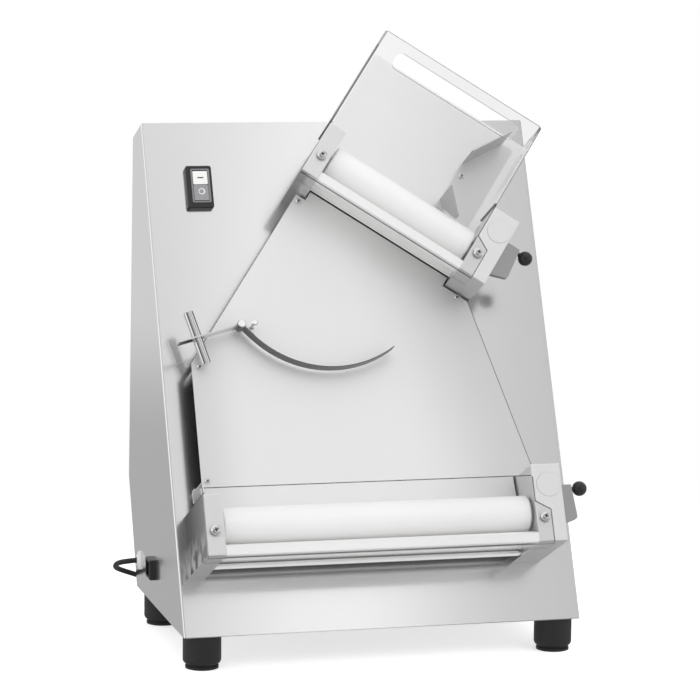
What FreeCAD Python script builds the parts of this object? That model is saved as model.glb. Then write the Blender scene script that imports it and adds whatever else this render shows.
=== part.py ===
import FreeCAD, Part
import math
import os

# Two stage dough roller: a leaning steel housing on four feet, a short tilted pair of rollers
# at the top and a long level pair at the bottom, with a slide plate between them.
# Millimetres, +Z up, +X to the right of someone facing the machine.

V = FreeCAD.Vector
X_AXIS = V(1, 0, 0)
Y_AXIS = V(0, 1, 0)
Z_AXIS = V(0, 0, 1)

# Housing
housing_width = 500.0
sheet = 1.5
panel_lean = 24.65
panel_length = 657.0
top_run = 51.2
top_fall = 20.1
knee_depth = 350.6
knee_rise = 135.0
base_depth = 296.0
side_fold_radius = 2.5
base_plate_thickness = 2.0
base_flange = 14.0
fit_gap = 0.3
vent_length = 48.0
vent_height = 4.0
vent_pitch = 14.0
vent_rows = 8
vent_top_drop = 90.0
corner_relief = 4.0
cut_margin = 30.0

# Feet
foot_height = 42.0
cup_radius = 23.4
cup_rounding = 6.0
tread_radius = 20.3
tread_height = 3.0
neck_radius = 18.0
neck_height = 2.0
foot_side_inset = 27.3
front_foot_y = 24.5
rear_foot_y = 264.5

# Roller units, measured from the lower right corner of each right hand block
block_depth = 113.0
block_wall = 1.5
block_edge_radius = 1.0
right_block_width = 36.2
right_block_height = 96.0
left_block_width = 22.4
left_block_height = 74.0
lower_opening = 385.8
upper_opening = 205.9
lower_corner = (housing_width / 2 - 42.4, 74.9)
upper_corner = (housing_width / 2 - 111.1, panel_length - 256.0)
upper_tilt = 35.0

# Rollers
roller_radius = 22.5
roller_end_radius = 3.0
roller_end_gap = 2.0
roller_axis_height = 41.5
rear_axis_out = 34.2
nip = 0.8
nip_travel = 4.0
journal_radius = 8.0
running_gap = 0.05
side_plate = 8.0
bush_radius = 12.0
bush_flange = 1.2
bush_flange_radius = 14.0

# Synchronising gears at the left end
gear_teeth = 14
gear_pressure_angle = 25.0
gear_addendum_share = 0.85
gear_dedendum_share = 1.25
gear_backlash = 0.7
gear_width = 8.0
gear_wall_gap = 1.6

# Bearing slides and thickness levers
slide_half = 13.0
slide_lip = 3.0
left_lip_thickness = 1.2
right_lip_thickness = 4.0
lug_half_height = 10.0
lug_thickness = 7.0
lug_front = 74.0
lug_right_inset = 9.0
spindle_radius = 4.0
spindle_length = 26.0
hinge_inset = 16.8
hinge_height = 70.4
hub_radius = 9.0
hub_back = 84.0
lever_back = 85.5
lever_thickness = 6.5
lever_top_rise = 3.6
lever_reach = 19.0
lever_foot_reach = 23.0
lever_foot_height = 31.6
lever_heel_height = 24.2
lever_corner_radius = 4.0
lever_swing = 45.0
slot_margin = 2.0
knob_radius = 9.1
knob_reach = 30.2
knob_drop = 1.4
knob_neck_radius = 2.6
seat_gap = 0.15
cap_radius = 15.0
cap_gap = 0.2
cap_proud = 0.4

# Bars between the blocks
bar_height = 11.5
bar_depth = 12.5
bar_chamfer = 1.0
rod_radius = 3.2
rod_tip_radius = 2.0
rod_tip_length = 2.6
rod_end_rounding = 1.0
lower_rod_place = (3.4, 35.0)
upper_rod_place = (4.6, 30.0)

# Scrapers under the rollers
scraper_low = 9.0
scraper_high = 16.0
scraper_gap = 0.8
rear_scraper_back = 2.0
front_scraper_front = 97.0
scraper_angle = 52.0
scraper_tip_thickness = 1.2

# Clear guards
guard_thickness = 3.0
guard_drop = 0.8
guard_lip_depth = 28.0
tab_height = 50.0
tab_step_height = 39.0
tab_width = 18.7
lower_guard_height = 82.0
lower_ear_height = 93.0
lower_ear_back = 56.0
lower_ear_foot_gap = 2.0
upper_guard_height = 222.0
upper_guard_overhang = 2.2
upper_cheek_back = 45.0
upper_cheek_left_foot = 77.0
upper_cheek_right_foot = 100.0
grip_low = 182.0
grip_high = 207.0
grip_left_inset = 27.7
grip_right_inset = 25.2
grip_radius = 8.0
guard_corner_radius = 4.0
screw_head_radius = 6.4
screw_head_height = 3.4
screw_socket_radius = 2.4
screw_socket_depth = 2.0
screw_shank_radius = 2.5
screw_hole_gap = 0.2
screw_length = 5.6
right_screw_inset = 26.0
left_screw_inset = 11.4
screw_height = 30.0

# Slide plate between the two units
slide_out = 42.0
slide_left = -housing_width / 2 + 28.3
slide_shoulder = 329.3
slide_peak_inset = 10.9
slide_unit_gap = 2.0
tongue_rise = 12.6
slide_right_foot = lower_corner[0] - 8.1
lower_tongue_fall = 28.5
lower_tongue_out = 5.0
post_radius = 5.0
peak_post_inset = (1.8, -9.3)
right_top_inset = 0.8
right_post_inset = (-13.9, 5.8)
shoulder_post_inset = (10.0, -4.3)
left_foot_post_inset = (7.2, 8.9)
right_foot_post_inset = (-10.0, 7.8)
pan_radius = 3.75
pan_height = 2.6
pan_shank_radius = 2.0
pan_shank_length = 10.0

# Chute plate above the upper rollers and the dough guide on it
chute_low = 64.5
chute_high = 220.5
chute_side_gap = 2.0
chute_post_height = 90.0
chute_right_post_inset = 23.8
chute_left_post_inset = 8.0
guide_left = -95.5
guide_low = 97.5
guide_left_high = 154.7
guide_top_left = -65.6
guide_top = 207.4
guide_right = -48.0
guide_foot = 66.5
guide_foot_left = -69.0
guide_upper_height = 50.0
guide_lower_height = 58.0
guide_cut_run = 11.5
guide_cut_out = 42.0
guide_screw_place = (-88.0, 138.4)

# Balance arm
arm_pivot_place = (slide_left + 62.5, slide_shoulder + 42.5)
arm_tip_place = (arm_pivot_place[0] - 79.2, arm_pivot_place[1] - 20.7)
arm_back = 49.0
arm_width = 16.0
arm_bar_thickness = 1.6
arm_blade_thickness = 1.2
arm_hub_radius = 5.4
arm_pin_radius = 3.0
arm_pin_head_radius = 5.0
arm_pin_head_height = 2.0
blade_centre = (arm_pivot_place[0] + 112.25, arm_pivot_place[1] + 78.3)
blade_radius = 135.6
blade_start_angle = 224.0
blade_end_angle = 304.5
weight_radius = 6.0
weight_length = 68.0
weight_from_pivot = 57.2
weight_chamfer = 0.6
stop_place = (arm_pivot_place[0] + 16.6, arm_pivot_place[1] + 1.8)
stop_radius = 2.0
stop_head_radius = 3.75
arm_swing = 40.0

# Switch on the front panel
switch_place = (-housing_width / 2 + 66.5, panel_length - 88.0)
switch_width = 33.0
switch_height = 56.0
switch_proud = 8.0
switch_bezel = 2.0
switch_body_width = 27.0
switch_body_height = 48.0
switch_body_depth = 34.0
switch_corner_radius = 3.0
button_width = 18.3
start_button_height = 17.3
stop_button_height = 20.4
button_split = switch_place[1] + 2.6
button_offset = 1.2
button_gap = 0.4
button_proud = 0.9
button_travel = 2.5
button_depth = 6.5

# Pedal socket and cord exit on the left side
socket_y = 191.0
socket_z = 87.6
socket_length = 26.0
socket_height = 25.4
socket_proud = 7.0
socket_body_length = 23.0
socket_body_height = 22.0
socket_body_depth = 16.0
socket_mouth_length = 19.0
socket_mouth_height = 18.0
socket_mouth_depth = 13.0
socket_pin_radius = 1.2
socket_pin_length = 7.0
socket_pin_pitch = 5.5
gland_y = 272.0
gland_z = 81.0
gland_flange_radius = 12.0
gland_flange_height = 2.6
gland_thread_radius = 8.0
gland_nut_radius = 11.5
gland_nut_height = 8.0
gland_nose_height = 2.6
gland_nose_radius = 6.0

# Cord, coil and plug
cord_radius = 3.4
floor_gap = 0.1
coil_centre = (-97.0, 353.0)
coil_radius = 46.5
coil_pitch = 7.4
coil_layer_rise = 7.4
coil_start_angle = -72.0
coil_turns_in = 2.25
coil_turns_out = 2.25
coil_lead_out = 40.0
plug_length = 40.0
plug_width = 27.0
plug_rounding = 6.0
plug_pin_radius = 2.4
plug_pin_length = 19.0
plug_pin_pitch = 19.0

# Motor, belts and countershaft inside the housing
pulley_inset = 18.1
motor_axis_y = 205.0
motor_axis_z = 117.0
motor_radius = 52.0
motor_length = 165.0
second_belt_x = housing_width / 2 - 36.0
motor_right = second_belt_x - 118.0
motor_foot_width = 84.0
motor_foot_length = 120.0
gearbox_length = 46.0
gearbox_half = 48.0
output_shaft_radius = 8.0
motor_pulley_radius = 15.0
driven_pulley_radius = 20.0
round_belt_pulley_radius = 18.0
round_belt_radius = 2.5
belt_width = 8.0
belt_thickness = 3.0
belt_gap = 0.3
pulley_rim = 1.5
pulley_rim_height = 3.6
shaft_overhang = 7.0
countershaft_radius = 6.0
countershaft_behind = 110.0
bracket_left = second_belt_x - 32.0
bracket_right = second_belt_x - 11.0
bracket_wall = 3.0
bracket_half = 26.0
bracket_reach = 22.0
round_pulley_width = 13.0
round_groove_half = 3.6
round_groove_mouth = 5.2


# Values that follow from the sizes above
lean = math.radians(panel_lean)
front_axis_out = rear_axis_out + 2 * roller_radius + nip
gear_pitch_radius = roller_radius + nip / 2
block_front = block_depth
guard_face = block_depth + guard_thickness
chute_back = slide_out
slide_front = slide_out + sheet
cup_base = tread_height + neck_height


def turned(points, base, axis):
    """A body of revolution from (radius, height) points, standing on base along axis."""
    wire = Part.makePolygon([V(r, 0, h) for r, h in points] + [V(points[0][0], 0, points[0][1])])
    solid = Part.Face(wire).revolve(V(0, 0, 0), Z_AXIS, 360)
    solid.Placement = FreeCAD.Placement(base, FreeCAD.Rotation(Z_AXIS, axis))
    return solid


def rod(radius, start, end):
    """A round bar between two points."""
    start, end = V(*start), V(*end)
    return Part.makeCylinder(radius, start.distanceToPoint(end), start, end.sub(start))


def block(low, high):
    """A rectangular block between two corners."""
    return Part.makeBox(high[0] - low[0], high[1] - low[1], high[2] - low[2], V(*low))


def outline(corners):
    """A closed wire through (x, y) or (x, y, radius) corners, with tangent arcs at the rounded ones."""
    edges, legs = [], []
    count = len(corners)
    for index, corner in enumerate(corners):
        here = V(corner[0], corner[1], 0)
        radius = corner[2] if len(corner) > 2 else 0.0
        before = V(corners[index - 1][0], corners[index - 1][1], 0).sub(here).normalize()
        after = V(corners[(index + 1) % count][0], corners[(index + 1) % count][1], 0).sub(here).normalize()
        if radius == 0:
            legs.append((here, here, None))
            continue
        half = before.getAngle(after) / 2
        reach = radius / math.tan(half)
        bisector = (before + after).normalize()
        centre = here + bisector * (radius / math.sin(half))
        legs.append((here + before * reach, here + after * reach, centre - bisector * radius))
    for index, (entry, leave, middle) in enumerate(legs):
        if middle is not None:
            edges.append(Part.Arc(entry, middle, leave).toShape())
        following = legs[(index + 1) % count][0]
        if leave.distanceToPoint(following) > 1e-6:
            edges.append(Part.LineSegment(leave, following).toShape())
    return Part.Wire(edges)


def plate(corners, low, high):
    """A flat plate with the given outline, between two heights."""
    face = Part.Face(outline(corners))
    face.translate(V(0, 0, low))
    return face.extrude(V(0, 0, high - low))


def side_plate_shape(corners, low, high):
    """A plate whose outline is given as (y, z) and that is thick along x."""
    solid = plate(corners, low, high)
    solid.Placement = FreeCAD.Placement(V(0, 0, 0), FreeCAD.Rotation(Y_AXIS, Z_AXIS, X_AXIS, "ZXY"))
    return solid


def together(solids):
    """Several separate solids kept in one group."""
    return Part.makeCompound(solids)


panel_frame = FreeCAD.Placement(V(0, 0, foot_height), FreeCAD.Rotation(X_AXIS, 90 - panel_lean))


def unit_frame(corner, tilt):
    """The frame of a roller unit: x along the rollers, y up the unit, z out of the panel."""
    turn = FreeCAD.Placement(V(corner[0], corner[1], 0), FreeCAD.Rotation(Z_AXIS, -tilt))
    return panel_frame.multiply(turn)


def placed(shape, frame):
    """A copy of a shape, moved from its local frame into the machine."""
    moved = shape.copy()
    moved.Placement = frame.multiply(moved.Placement)
    return moved


def on_panel(unit_point, corner=upper_corner, tilt=upper_tilt):
    """The place on the panel of a point given along and up a roller unit."""
    angle = math.radians(tilt)
    along, up = unit_point
    return (corner[0] + along * math.cos(angle) + up * math.sin(angle),
            corner[1] - along * math.sin(angle) + up * math.cos(angle))


# Housing shells

def housing_profile():
    """The housing seen from its side, as (y, z) corners."""
    ridge = (panel_length * math.sin(lean), foot_height + panel_length * math.cos(lean))
    return [(0.0, foot_height), ridge, (ridge[0] + top_run, ridge[1] - top_fall),
            (knee_depth, foot_height + knee_rise), (base_depth, foot_height)]


def inward(first, second, distance):
    """The line through two points, moved to the right of its direction."""
    dy, dz = second[0] - first[0], second[1] - first[1]
    length = math.hypot(dy, dz)
    shift = (dz / length * distance, -dy / length * distance)
    return (first[0] + shift[0], first[1] + shift[1]), (second[0] + shift[0], second[1] + shift[1])


def crossing(line_a, line_b):
    """Where two lines in the side view meet."""
    (y1, z1), (y2, z2) = line_a
    (y3, z3), (y4, z4) = line_b
    bottom = (y1 - y2) * (z3 - z4) - (z1 - z2) * (y3 - y4)
    first = y1 * z2 - z1 * y2
    second = y3 * z4 - z3 * y4
    return ((first * (y3 - y4) - (y1 - y2) * second) / bottom,
            (first * (z3 - z4) - (z1 - z2) * second) / bottom)


def fold_edges(shape, profile):
    """The edges where the front and the top turn into the two sides."""
    found = []
    for edge in shape.Edges:
        start, end = edge.Vertexes[0].Point, edge.Vertexes[-1].Point
        if abs(start.x - end.x) > 1:
            continue
        for first, second in zip(profile[:2], profile[1:3]):
            ends = [(start.y, start.z), (end.y, end.z)]
            if all(min(math.dist(point, end_point) for end_point in ends) < 1e-3 for point in (first, second)):
                found.append(edge)
    return found


def front_shell():
    """The folded sheet that makes the front panel, the top and both sides."""
    half = housing_width / 2
    profile = housing_profile()
    outer = side_plate_shape(profile, -half, half)
    outer = outer.makeFillet(side_fold_radius, fold_edges(outer, profile))
    front_line = inward(profile[0], profile[1], sheet)
    top_line = inward(profile[1], profile[2], sheet)
    ridge = crossing(front_line, top_line)
    floor_line = ((0.0, foot_height - 5), (1.0, foot_height - 5))
    back_line = ((knee_depth + cut_margin, 0.0), (knee_depth + cut_margin, 1.0))
    cavity_profile = [crossing(front_line, floor_line), ridge, crossing(top_line, back_line),
                      crossing(back_line, floor_line)]
    cavity = side_plate_shape(cavity_profile, -half + sheet, half - sheet)
    cavity = cavity.makeFillet(side_fold_radius - sheet, fold_edges(cavity, cavity_profile))
    shell = outer.cut(cavity)
    openings = [placed(drive_window(), unit_frame(lower_corner, 0)),
                placed(drive_window(), unit_frame(upper_corner, upper_tilt)),
                placed(switch_cutout(), panel_frame),
                socket_cutout(),
                rod(gland_thread_radius + fit_gap, (-half - 1, gland_y, gland_z),
                    (-half + sheet + 1, gland_y, gland_z))]
    return shell.cut(together(openings))


def drive_window():
    """The window behind each right hand block that lets a belt through."""
    low = (-right_block_width + side_plate + 2, 10, -sheet - 1)
    return block(low, (-block_wall - 3, right_block_height - 16, 1))


def switch_cutout():
    """The hole in the panel for the body of the switch."""
    u, v = switch_place
    half_width = switch_body_width / 2 + fit_gap
    half_height = switch_body_height / 2 + fit_gap
    return block((u - half_width, v - half_height, -sheet - 1), (u + half_width, v + half_height, 1))


def socket_cutout():
    """The hole in the left side for the body of the pedal socket."""
    half_length = socket_body_length / 2 + fit_gap
    half_height = socket_body_height / 2 + fit_gap
    return block((-housing_width / 2 - 1, socket_y - half_length, socket_z - half_height),
                 (-housing_width / 2 + sheet + 1, socket_y + half_length, socket_z + half_height))


def back_panel():
    """The folded rear sheet, with vent slots in its upper field."""
    profile = housing_profile()
    half = housing_width / 2 - sheet - fit_gap
    top_line = inward(profile[1], profile[2], sheet + fit_gap)
    upper_outer = (profile[2], profile[3])
    lower_outer = (profile[3], profile[4])
    upper_inner = inward(profile[2], profile[3], sheet)
    lower_inner = inward(profile[3], profile[4], sheet)
    base_line = ((0.0, foot_height), (1.0, foot_height))
    corners = [crossing(top_line, upper_outer), profile[3], profile[4], crossing(lower_inner, base_line),
               crossing(upper_inner, lower_inner), crossing(top_line, upper_inner)]
    panel = side_plate_shape(corners, -half, half)
    direction = V(0, profile[3][0] - profile[2][0], profile[3][1] - profile[2][1]).normalize()
    start = V(0, profile[2][0], profile[2][1])
    slots = []
    for row in range(vent_rows):
        centre = start + direction * (vent_top_drop + row * vent_pitch)
        for column in (-1, 0, 1):
            left = column * 1.5 * vent_length - vent_length / 2
            slots.append(block((left, centre.y - 10, centre.z - vent_height / 2),
                               (left + vent_length, centre.y + 10, centre.z + vent_height / 2)))
    top_z = profile[2][1]
    reliefs = [block((side - corner_relief, profile[2][0] - 10, top_z - corner_relief),
                     (side + corner_relief, profile[2][0] + 10, top_z + 10)) for side in (-half, half)]
    return panel.cut(together(slots + reliefs))


def base_plate():
    """The floor of the housing, with a flange turned up along each side."""
    half = housing_width / 2 - sheet - fit_gap
    low, high = foot_height, foot_height + base_plate_thickness
    rear_slope = (knee_depth - base_depth) / knee_rise
    front = (sheet / math.cos(lean)) + base_plate_thickness * math.tan(lean) + 2 * fit_gap
    rear = base_depth - sheet * math.hypot(1, rear_slope) - fit_gap
    corner = front + corner_relief
    floor = plate([(-half, corner), (-half + corner_relief, front), (half - corner_relief, front),
                   (half, corner), (half, rear), (-half, rear)], low, high)
    flange_front = corner + base_flange * math.tan(lean)
    for side in (-half, half - base_plate_thickness):
        flange = block((side, flange_front, low), (side + base_plate_thickness, rear, low + base_flange))
        floor = floor.fuse(flange)
    return floor.removeSplitter()


def rubber_feet():
    """Four cup feet, each on a flat tread."""
    top = foot_height
    profile = [(0.0, 0.0), (tread_radius, 0.0), (tread_radius, tread_height), (neck_radius, tread_height),
               (neck_radius, cup_base), (cup_radius - cup_rounding, cup_base),
               (cup_radius - cup_rounding * (1 - math.sin(math.pi / 4)),
                cup_base + cup_rounding * (1 - math.cos(math.pi / 4))),
               (cup_radius, cup_base + cup_rounding), (cup_radius, top), (0.0, top)]
    edges = []
    for index, (start, end) in enumerate(zip(profile, profile[1:] + profile[:1])):
        if index == 6:
            continue
        if index == 5:
            bend = [V(r, 0, h) for r, h in profile[5:8]]
            edges.append(Part.Arc(*bend).toShape())
            continue
        edges.append(Part.LineSegment(V(start[0], 0, start[1]), V(end[0], 0, end[1])).toShape())
    section = Part.Face(Part.Wire(edges))
    foot = section.revolve(V(0, 0, 0), Z_AXIS, 360)
    side = housing_width / 2 - foot_side_inset
    feet = []
    for x in (-side, side):
        for y in (front_foot_y, rear_foot_y):
            copy = foot.copy()
            copy.translate(V(x, y, 0))
            feet.append(copy)
    return together(feet)


# Switch and socket

def button_height_range(name):
    """The lower and upper edge of a push button on the panel."""
    if name == "start":
        return button_split + button_gap, button_split + button_gap + start_button_height
    return button_split - button_gap - stop_button_height, button_split - button_gap


def switch_housing():
    """The black double push button housing, with its body behind the panel."""
    u, v = switch_place
    w, h, r = switch_width / 2, switch_height / 2, switch_corner_radius
    corners = [(u - w, v - h, r), (u + w, v - h, r), (u + w, v + h, r), (u - w, v + h, r)]
    bezel = plate(corners, 0, switch_proud)
    rim = [edge for edge in bezel.Edges if all(abs(p.Z - switch_proud) < 1e-6 for p in edge.Vertexes)]
    bezel = bezel.makeChamfer(switch_bezel / 2, rim)
    body = block((u - switch_body_width / 2, v - switch_body_height / 2, -switch_body_depth),
                 (u + switch_body_width / 2, v + switch_body_height / 2, 0))
    housing = bezel.fuse(body)
    centre = switch_place[0] + button_offset
    for name in ("start", "stop"):
        low, high = button_height_range(name)
        well = block((centre - button_width / 2 - fit_gap, low - fit_gap, switch_proud - button_depth - 2),
                     (centre + button_width / 2 + fit_gap, high + fit_gap, switch_proud + 1))
        housing = housing.cut(well)
    return housing.removeSplitter()


def push_button(name):
    """One push button, standing a little proud of its housing."""
    centre = switch_place[0] + button_offset
    low, high = button_height_range(name)
    top = switch_proud + button_proud
    left, right = centre - button_width / 2, centre + button_width / 2
    corners = [(left, low, 1), (right, low, 1), (right, high, 1), (left, high, 1)]
    return plate(corners, top - button_depth, top)


def pedal_socket():
    """The flanged socket for a foot pedal, with three contact pins in its mouth."""
    face = -housing_width / 2
    half_length, half_height = socket_length / 2, socket_height / 2
    flange = block((face - socket_proud, socket_y - half_length, socket_z - half_height),
                   (face, socket_y + half_length, socket_z + half_height))
    outer_edges = [edge for edge in flange.Edges if abs(edge.CenterOfMass.x - (face - socket_proud)) < 1e-6]
    flange = flange.makeChamfer(1.2, outer_edges)
    body = block((face, socket_y - socket_body_length / 2, socket_z - socket_body_height / 2),
                 (face + socket_body_depth, socket_y + socket_body_length / 2,
                  socket_z + socket_body_height / 2))
    bottom = face - socket_proud + socket_mouth_depth
    mouth = block((face - socket_proud - 1, socket_y - socket_mouth_length / 2,
                   socket_z - socket_mouth_height / 2),
                  (bottom, socket_y + socket_mouth_length / 2, socket_z + socket_mouth_height / 2))
    socket = flange.fuse(body).cut(mouth)
    for step in (-1, 0, 1):
        y = socket_y + step * socket_pin_pitch
        socket = socket.fuse(rod(socket_pin_radius, (bottom, y, socket_z),
                                 (bottom - socket_pin_length, y, socket_z)))
    return socket.removeSplitter()


def cable_gland():
    """The cord gland: nut inside, flange outside, and a nose that tapers down to the cord."""
    start = -housing_width / 2 + sheet + gland_nut_height
    wall = gland_nut_height + sheet
    flange_top = wall + gland_flange_height
    nose_top = flange_top + gland_nose_height
    points = [(0, 0), (gland_nut_radius, 0), (gland_nut_radius, gland_nut_height),
              (gland_thread_radius, gland_nut_height), (gland_thread_radius, wall),
              (gland_flange_radius, wall), (gland_flange_radius, flange_top - 1),
              (gland_flange_radius - 1, flange_top), (gland_thread_radius + 1, flange_top),
              (gland_nose_radius, nose_top), (0, nose_top)]
    return turned(points, V(start, gland_y, gland_z), V(-1, 0, 0))


# Roller units

class Unit:
    """One pair of rollers with its blocks, in the unit's own frame."""

    def __init__(self, opening):
        self.opening = opening
        self.right_face = -right_block_width
        self.left_face = self.right_face - opening
        self.left_end = self.left_face - left_block_width
        self.gear_start = self.left_end + block_wall + gear_wall_gap
        self.gear_end = self.gear_start + gear_width


def hollow_block(low_x, high_x, height, open_side):
    """A folded cover, open to the panel and to the side of the rollers."""
    outer = block((low_x, 0, 0), (high_x, height, block_depth))
    front = [edge for edge in outer.Edges if abs(edge.CenterOfMass.z - block_depth) < 1e-6]
    outer = outer.makeFillet(block_edge_radius, front)
    inner_low = low_x + block_wall if open_side == "right" else low_x - 1
    inner_high = high_x + 1 if open_side == "right" else high_x - block_wall
    inner = block((inner_low, block_wall, -1), (inner_high, height - block_wall, block_depth - block_wall))
    return outer.cut(inner)


def screw_holes(unit):
    """The holes for the two guard screws, right and left."""
    radius = screw_shank_radius + screw_hole_gap
    return [rod(radius, (x, screw_height, block_depth - cut_margin), (x, screw_height, guard_face + 1))
            for x in guard_screw_places(unit)]


def guard_screw_places(unit):
    """Where the guard screws sit along the unit."""
    return (-right_screw_inset, unit.left_end + left_screw_inset)


def left_block(unit):
    """The gear cover at the left end."""
    cover = hollow_block(unit.left_end, unit.left_face, left_block_height, "right")
    return cover.cut(together(screw_holes(unit)))


def right_block(unit):
    """The drive cover at the right end, with the lever slot and the seat of the round cap."""
    cover = hollow_block(unit.right_face, 0.0, right_block_height, "left")
    swing = math.radians(lever_swing)
    top_of_swing = hinge_height + hinge_inset * math.tan(swing) + lever_top_rise / math.cos(swing)
    slot = block((-block_wall - 1, lever_heel_height - 2 * slot_margin, lever_back - slot_margin),
                 (1, top_of_swing + slot_margin, lever_back + lever_thickness + slot_margin))
    seat = rod(cap_radius + cap_gap, (-hinge_inset, hinge_height, block_depth - 5),
               (-hinge_inset, hinge_height, block_depth + 1))
    return cover.cut(together([slot, seat] + screw_holes(unit)))


def side_plates(unit):
    """The two thick plates that carry the bearings, each inside its cover."""
    plates = []
    for low_x, height in ((unit.left_face - side_plate, left_block_height),
                          (unit.right_face, right_block_height)):
        margin = block_wall + seat_gap
        body = block((low_x, margin, 0), (low_x + side_plate, height - margin, block_depth - margin))
        bore = rod(bush_radius + running_gap, (low_x - 1, roller_axis_height, rear_axis_out),
                   (low_x + side_plate + 1, roller_axis_height, rear_axis_out))
        slot = block((low_x - 1, roller_axis_height - slide_half - fit_gap,
                      front_axis_out - slide_half - fit_gap),
                     (low_x + side_plate + 1, roller_axis_height + slide_half + fit_gap,
                      front_axis_out + slide_half + nip_travel + fit_gap))
        plates.append(body.cut(together([bore, slot] + screw_holes(unit))))
    return together(plates)


def rear_bearings(unit):
    """A flanged bush in each side plate for the rear roller."""
    bushes = []
    for inner, outward in ((unit.left_face, -1), (unit.right_face, 1)):
        points = [(journal_radius + running_gap, 0), (bush_radius, 0), (bush_radius, side_plate),
                  (bush_flange_radius, side_plate), (bush_flange_radius, side_plate + bush_flange),
                  (journal_radius + running_gap, side_plate + bush_flange)]
        bushes.append(turned(points, V(inner, roller_axis_height, rear_axis_out), V(outward, 0, 0)))
    return together(bushes)


def roller(unit, axis_out, right_end):
    """A plastic covered roller with a journal turned on each end."""
    low, high = unit.left_face + roller_end_gap, unit.right_face - roller_end_gap
    barrel = rod(roller_radius, (low, roller_axis_height, axis_out), (high, roller_axis_height, axis_out))
    barrel = barrel.makeFillet(roller_end_radius, [e for e in barrel.Edges if e.Length < 2 * math.pi *
                                                   roller_radius + 1 and len(e.Vertexes) == 1])
    shaft = rod(journal_radius, (unit.gear_start, roller_axis_height, axis_out),
                (right_end, roller_axis_height, axis_out))
    return barrel.fuse(shaft)


def rear_roller(unit):
    """The driven roller next to the panel."""
    return roller(unit, rear_axis_out, -pulley_inset + belt_width / 2 + pulley_rim + 1)


def front_roller(unit):
    """The roller that the lever moves away from the rear one."""
    return roller(unit, front_axis_out, unit.right_face + side_plate + fit_gap + right_lip_thickness + 2)


def involute_point(base_radius, radius, offset):
    """A point of an involute flank at a radius, turned by an offset."""
    roll = math.sqrt(max((radius / base_radius) ** 2 - 1, 0.0))
    angle = roll - math.atan(roll) + offset
    return radius * math.cos(angle), radius * math.sin(angle)


def gear(first_tooth_angle):
    """A spur gear with long involute teeth, so that it stays in mesh as the rollers part."""
    module = 2 * gear_pitch_radius / gear_teeth
    pressure = math.radians(gear_pressure_angle)
    base_radius = gear_pitch_radius * math.cos(pressure)
    tip = gear_pitch_radius + gear_addendum_share * module
    root = gear_pitch_radius - gear_dedendum_share * module
    tooth = math.pi * module / 2 - gear_backlash / 2
    half_tooth = tooth / 2 / gear_pitch_radius + math.tan(pressure) - pressure
    edges = []
    previous = None
    step = 2 * math.pi / gear_teeth
    for number in range(gear_teeth):
        middle = first_tooth_angle + number * step

        def at(point, mirrored):
            x, y = point
            y = -y if mirrored else y
            return V(x * math.cos(middle) - y * math.sin(middle), x * math.sin(middle) + y * math.cos(middle), 0)

        rising = [involute_point(base_radius, r, -half_tooth)
                  for r in (base_radius, (base_radius + tip) / 2, tip)]
        foot = (root * math.cos(half_tooth), -root * math.sin(half_tooth))
        up = [at(point, False) for point in rising]
        down = [at(point, True) for point in rising]
        foot_up, foot_down = at(foot, False), at(foot, True)
        crest = at((tip, 0.0), False)
        if previous is None:
            first_foot = foot_up
        else:
            edges.append(Part.LineSegment(previous, foot_up).toShape())
        edges.append(Part.LineSegment(foot_up, up[0]).toShape())
        edges.append(Part.Arc(*up).toShape())
        edges.append(Part.Arc(up[2], crest, down[2]).toShape())
        edges.append(Part.Arc(down[2], down[1], down[0]).toShape())
        edges.append(Part.LineSegment(down[0], foot_down).toShape())
        previous = foot_down
    edges.append(Part.LineSegment(previous, first_foot).toShape())
    blank = Part.Face(Part.Wire(edges)).extrude(V(0, 0, gear_width))
    bore = Part.makeCylinder(journal_radius + running_gap, gear_width + 2, V(0, 0, -1))
    return blank.cut(bore)


def unit_gear(unit, axis_out, first_tooth_angle):
    """A synchronising gear on one of the left journals."""
    shape = gear(first_tooth_angle)
    shape.Placement = FreeCAD.Placement(V(unit.gear_start, roller_axis_height, axis_out),
                                        FreeCAD.Rotation(Y_AXIS, Z_AXIS, X_AXIS, "ZXY"))
    return shape


def bearing_slides(unit):
    """The sliding bearings of the front roller; the right one carries the spindle of the lever."""
    solids = []
    y, z = roller_axis_height, front_axis_out
    lip = slide_half + slide_lip
    for inner, outward, thickness in ((unit.left_face, -1, left_lip_thickness),
                                      (unit.right_face, 1, right_lip_thickness)):
        outer = inner + outward * (side_plate + fit_gap)
        low_x, high_x = min(inner, outer), max(inner, outer)
        slider = block((low_x, y - slide_half, z - slide_half), (high_x, y + slide_half, z + slide_half))
        edge_x = outer + outward * thickness
        flange = block((min(outer, edge_x), y - lip, z - lip + 2), (max(outer, edge_x), y + lip, z + lip - 2))
        slider = slider.fuse(flange)
        if outward > 0:
            lug_back = lug_front - lug_thickness
            riser = block((outer, y + lip, lug_back), (edge_x, hinge_height + lug_half_height, lug_front))
            lug = block((outer, hinge_height - lug_half_height, lug_back),
                        (-lug_right_inset, hinge_height + lug_half_height, lug_front))
            spindle = rod(spindle_radius, (-hinge_inset, hinge_height, lug_front),
                          (-hinge_inset, hinge_height, lug_front + spindle_length))
            slider = slider.fuse([riser, lug, spindle])
        bore = rod(journal_radius + running_gap, (low_x - 10, y, z), (high_x + 10, y, z))
        solids.append(slider.cut(bore).removeSplitter())
    return together(solids)


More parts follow.
